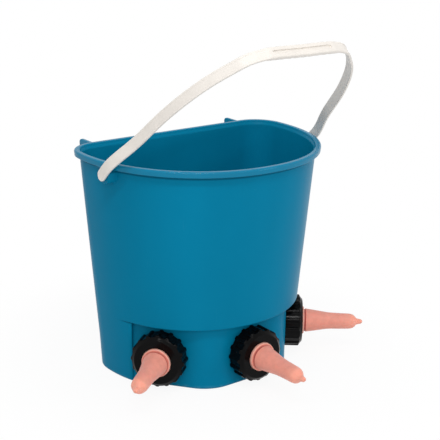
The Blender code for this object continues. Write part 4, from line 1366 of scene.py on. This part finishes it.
def add_camera(scene, sizes):
    """Camera at the photograph's viewing angle."""
    camera = bpy.data.objects.new("camera", bpy.data.cameras.new("camera"))
    scene.collection.objects.link(camera)
    back = direction_of(sizes.azimuth, sizes.elevation)
    right = Vector((0, 0, 1)).cross(back).normalized()
    turn = Matrix((right, back.cross(right), back)).transposed().to_4x4()
    place = right * sizes.aside + Vector((0, 0, sizes.target)) + back * sizes.distance
    camera.matrix_world = Matrix.Translation(place) @ turn @ Matrix.Rotation(sizes.roll, 4, "Z")
    camera.data.lens = sizes.focal
    scene.camera = camera


def build_stage(scene):
    shape = bmesh.new()
    bmesh.ops.create_circle(shape, cap_ends=True, segments=96, radius=FLOOR_RADIUS)
    floor = made_object("floor", shape, floor_finish())
    light_world(scene.feeder_stage.sky)
    for name, values in LAMPS.items():
        add_lamp(name, *values)
    add_camera(scene, scene.feeder_stage)
    scene.view_settings.view_transform = "Standard"


# The add-on

class BuildStep:
    """What the operators share."""

    bl_options = {"REGISTER", "UNDO"}

    def execute(self, context):
        self.build(context.scene)
        return {"FINISHED"}


class FEEDER_OT_pail(BuildStep, bpy.types.Operator):
    """Mould the pail with its lip, ledge, flats, lugs and hooks"""

    bl_idname = "feeder.pail"
    bl_label = "Pail"
    build = staticmethod(build_pail)


class FEEDER_OT_bail(BuildStep, bpy.types.Operator):
    """Mould the bail with its grip and snap studs"""

    bl_idname = "feeder.bail"
    bl_label = "Bail"
    build = staticmethod(build_bail)


class FEEDER_OT_fittings(BuildStep, bpy.types.Operator):
    """Make the collar nuts and the rubber teats"""

    bl_idname = "feeder.fittings"
    bl_label = "Nuts and teats"
    build = staticmethod(build_fittings)


class FEEDER_OT_valves(BuildStep, bpy.types.Operator):
    """Make the spigots, washers, balls and cages behind the teats"""

    bl_idname = "feeder.valves"
    bl_label = "Valves"
    build = staticmethod(build_valves)


class FEEDER_OT_stage(BuildStep, bpy.types.Operator):
    """Set up the floor, the lamps and the camera"""

    bl_idname = "feeder.stage"
    bl_label = "Stage"
    build = staticmethod(build_stage)


class FEEDER_PT_panel(bpy.types.Panel):
    """Sizes, colours and build steps of the milk feeder"""

    bl_idname = "FEEDER_PT_panel"
    bl_label = "Milk feeder"
    bl_space_type = "VIEW_3D"
    bl_region_type = "UI"
    bl_category = "Feeder"

    def draw(self, context):
        for operator in OPERATORS:
            self.layout.operator(operator.bl_idname)
        for name, group in GROUPS.items():
            box = self.layout.box()
            box.label(text=group.__doc__)
            for entry in group.__annotations__:
                box.prop(getattr(context.scene, name), entry)


GROUPS = {
    "feeder_pail": PailSizes,
    "feeder_lugs": LugSizes,
    "feeder_bail": BailSizes,
    "feeder_fittings": FittingSizes,
    "feeder_colours": FinishColours,
    "feeder_stage": StageSettings,
}
OPERATORS = (FEEDER_OT_pail, FEEDER_OT_bail, FEEDER_OT_fittings, FEEDER_OT_valves, FEEDER_OT_stage)


def register():
    for name, group in GROUPS.items():
        bpy.utils.register_class(group)
        setattr(bpy.types.Scene, name, PointerProperty(type=group))
    for kind in (*OPERATORS, FEEDER_PT_panel):
        bpy.utils.register_class(kind)


def unregister():
    for kind in (FEEDER_PT_panel, *reversed(OPERATORS)):
        bpy.utils.unregister_class(kind)
    for name, group in reversed(GROUPS.items()):
        delattr(bpy.types.Scene, name)
        bpy.utils.unregister_class(group)


def main():
    register()
    bpy.ops.feeder.pail()
    bpy.ops.feeder.bail()
    bpy.ops.feeder.fittings()
    bpy.ops.feeder.valves()
    bpy.ops.feeder.stage()


if __name__ == "__main__":
    main()
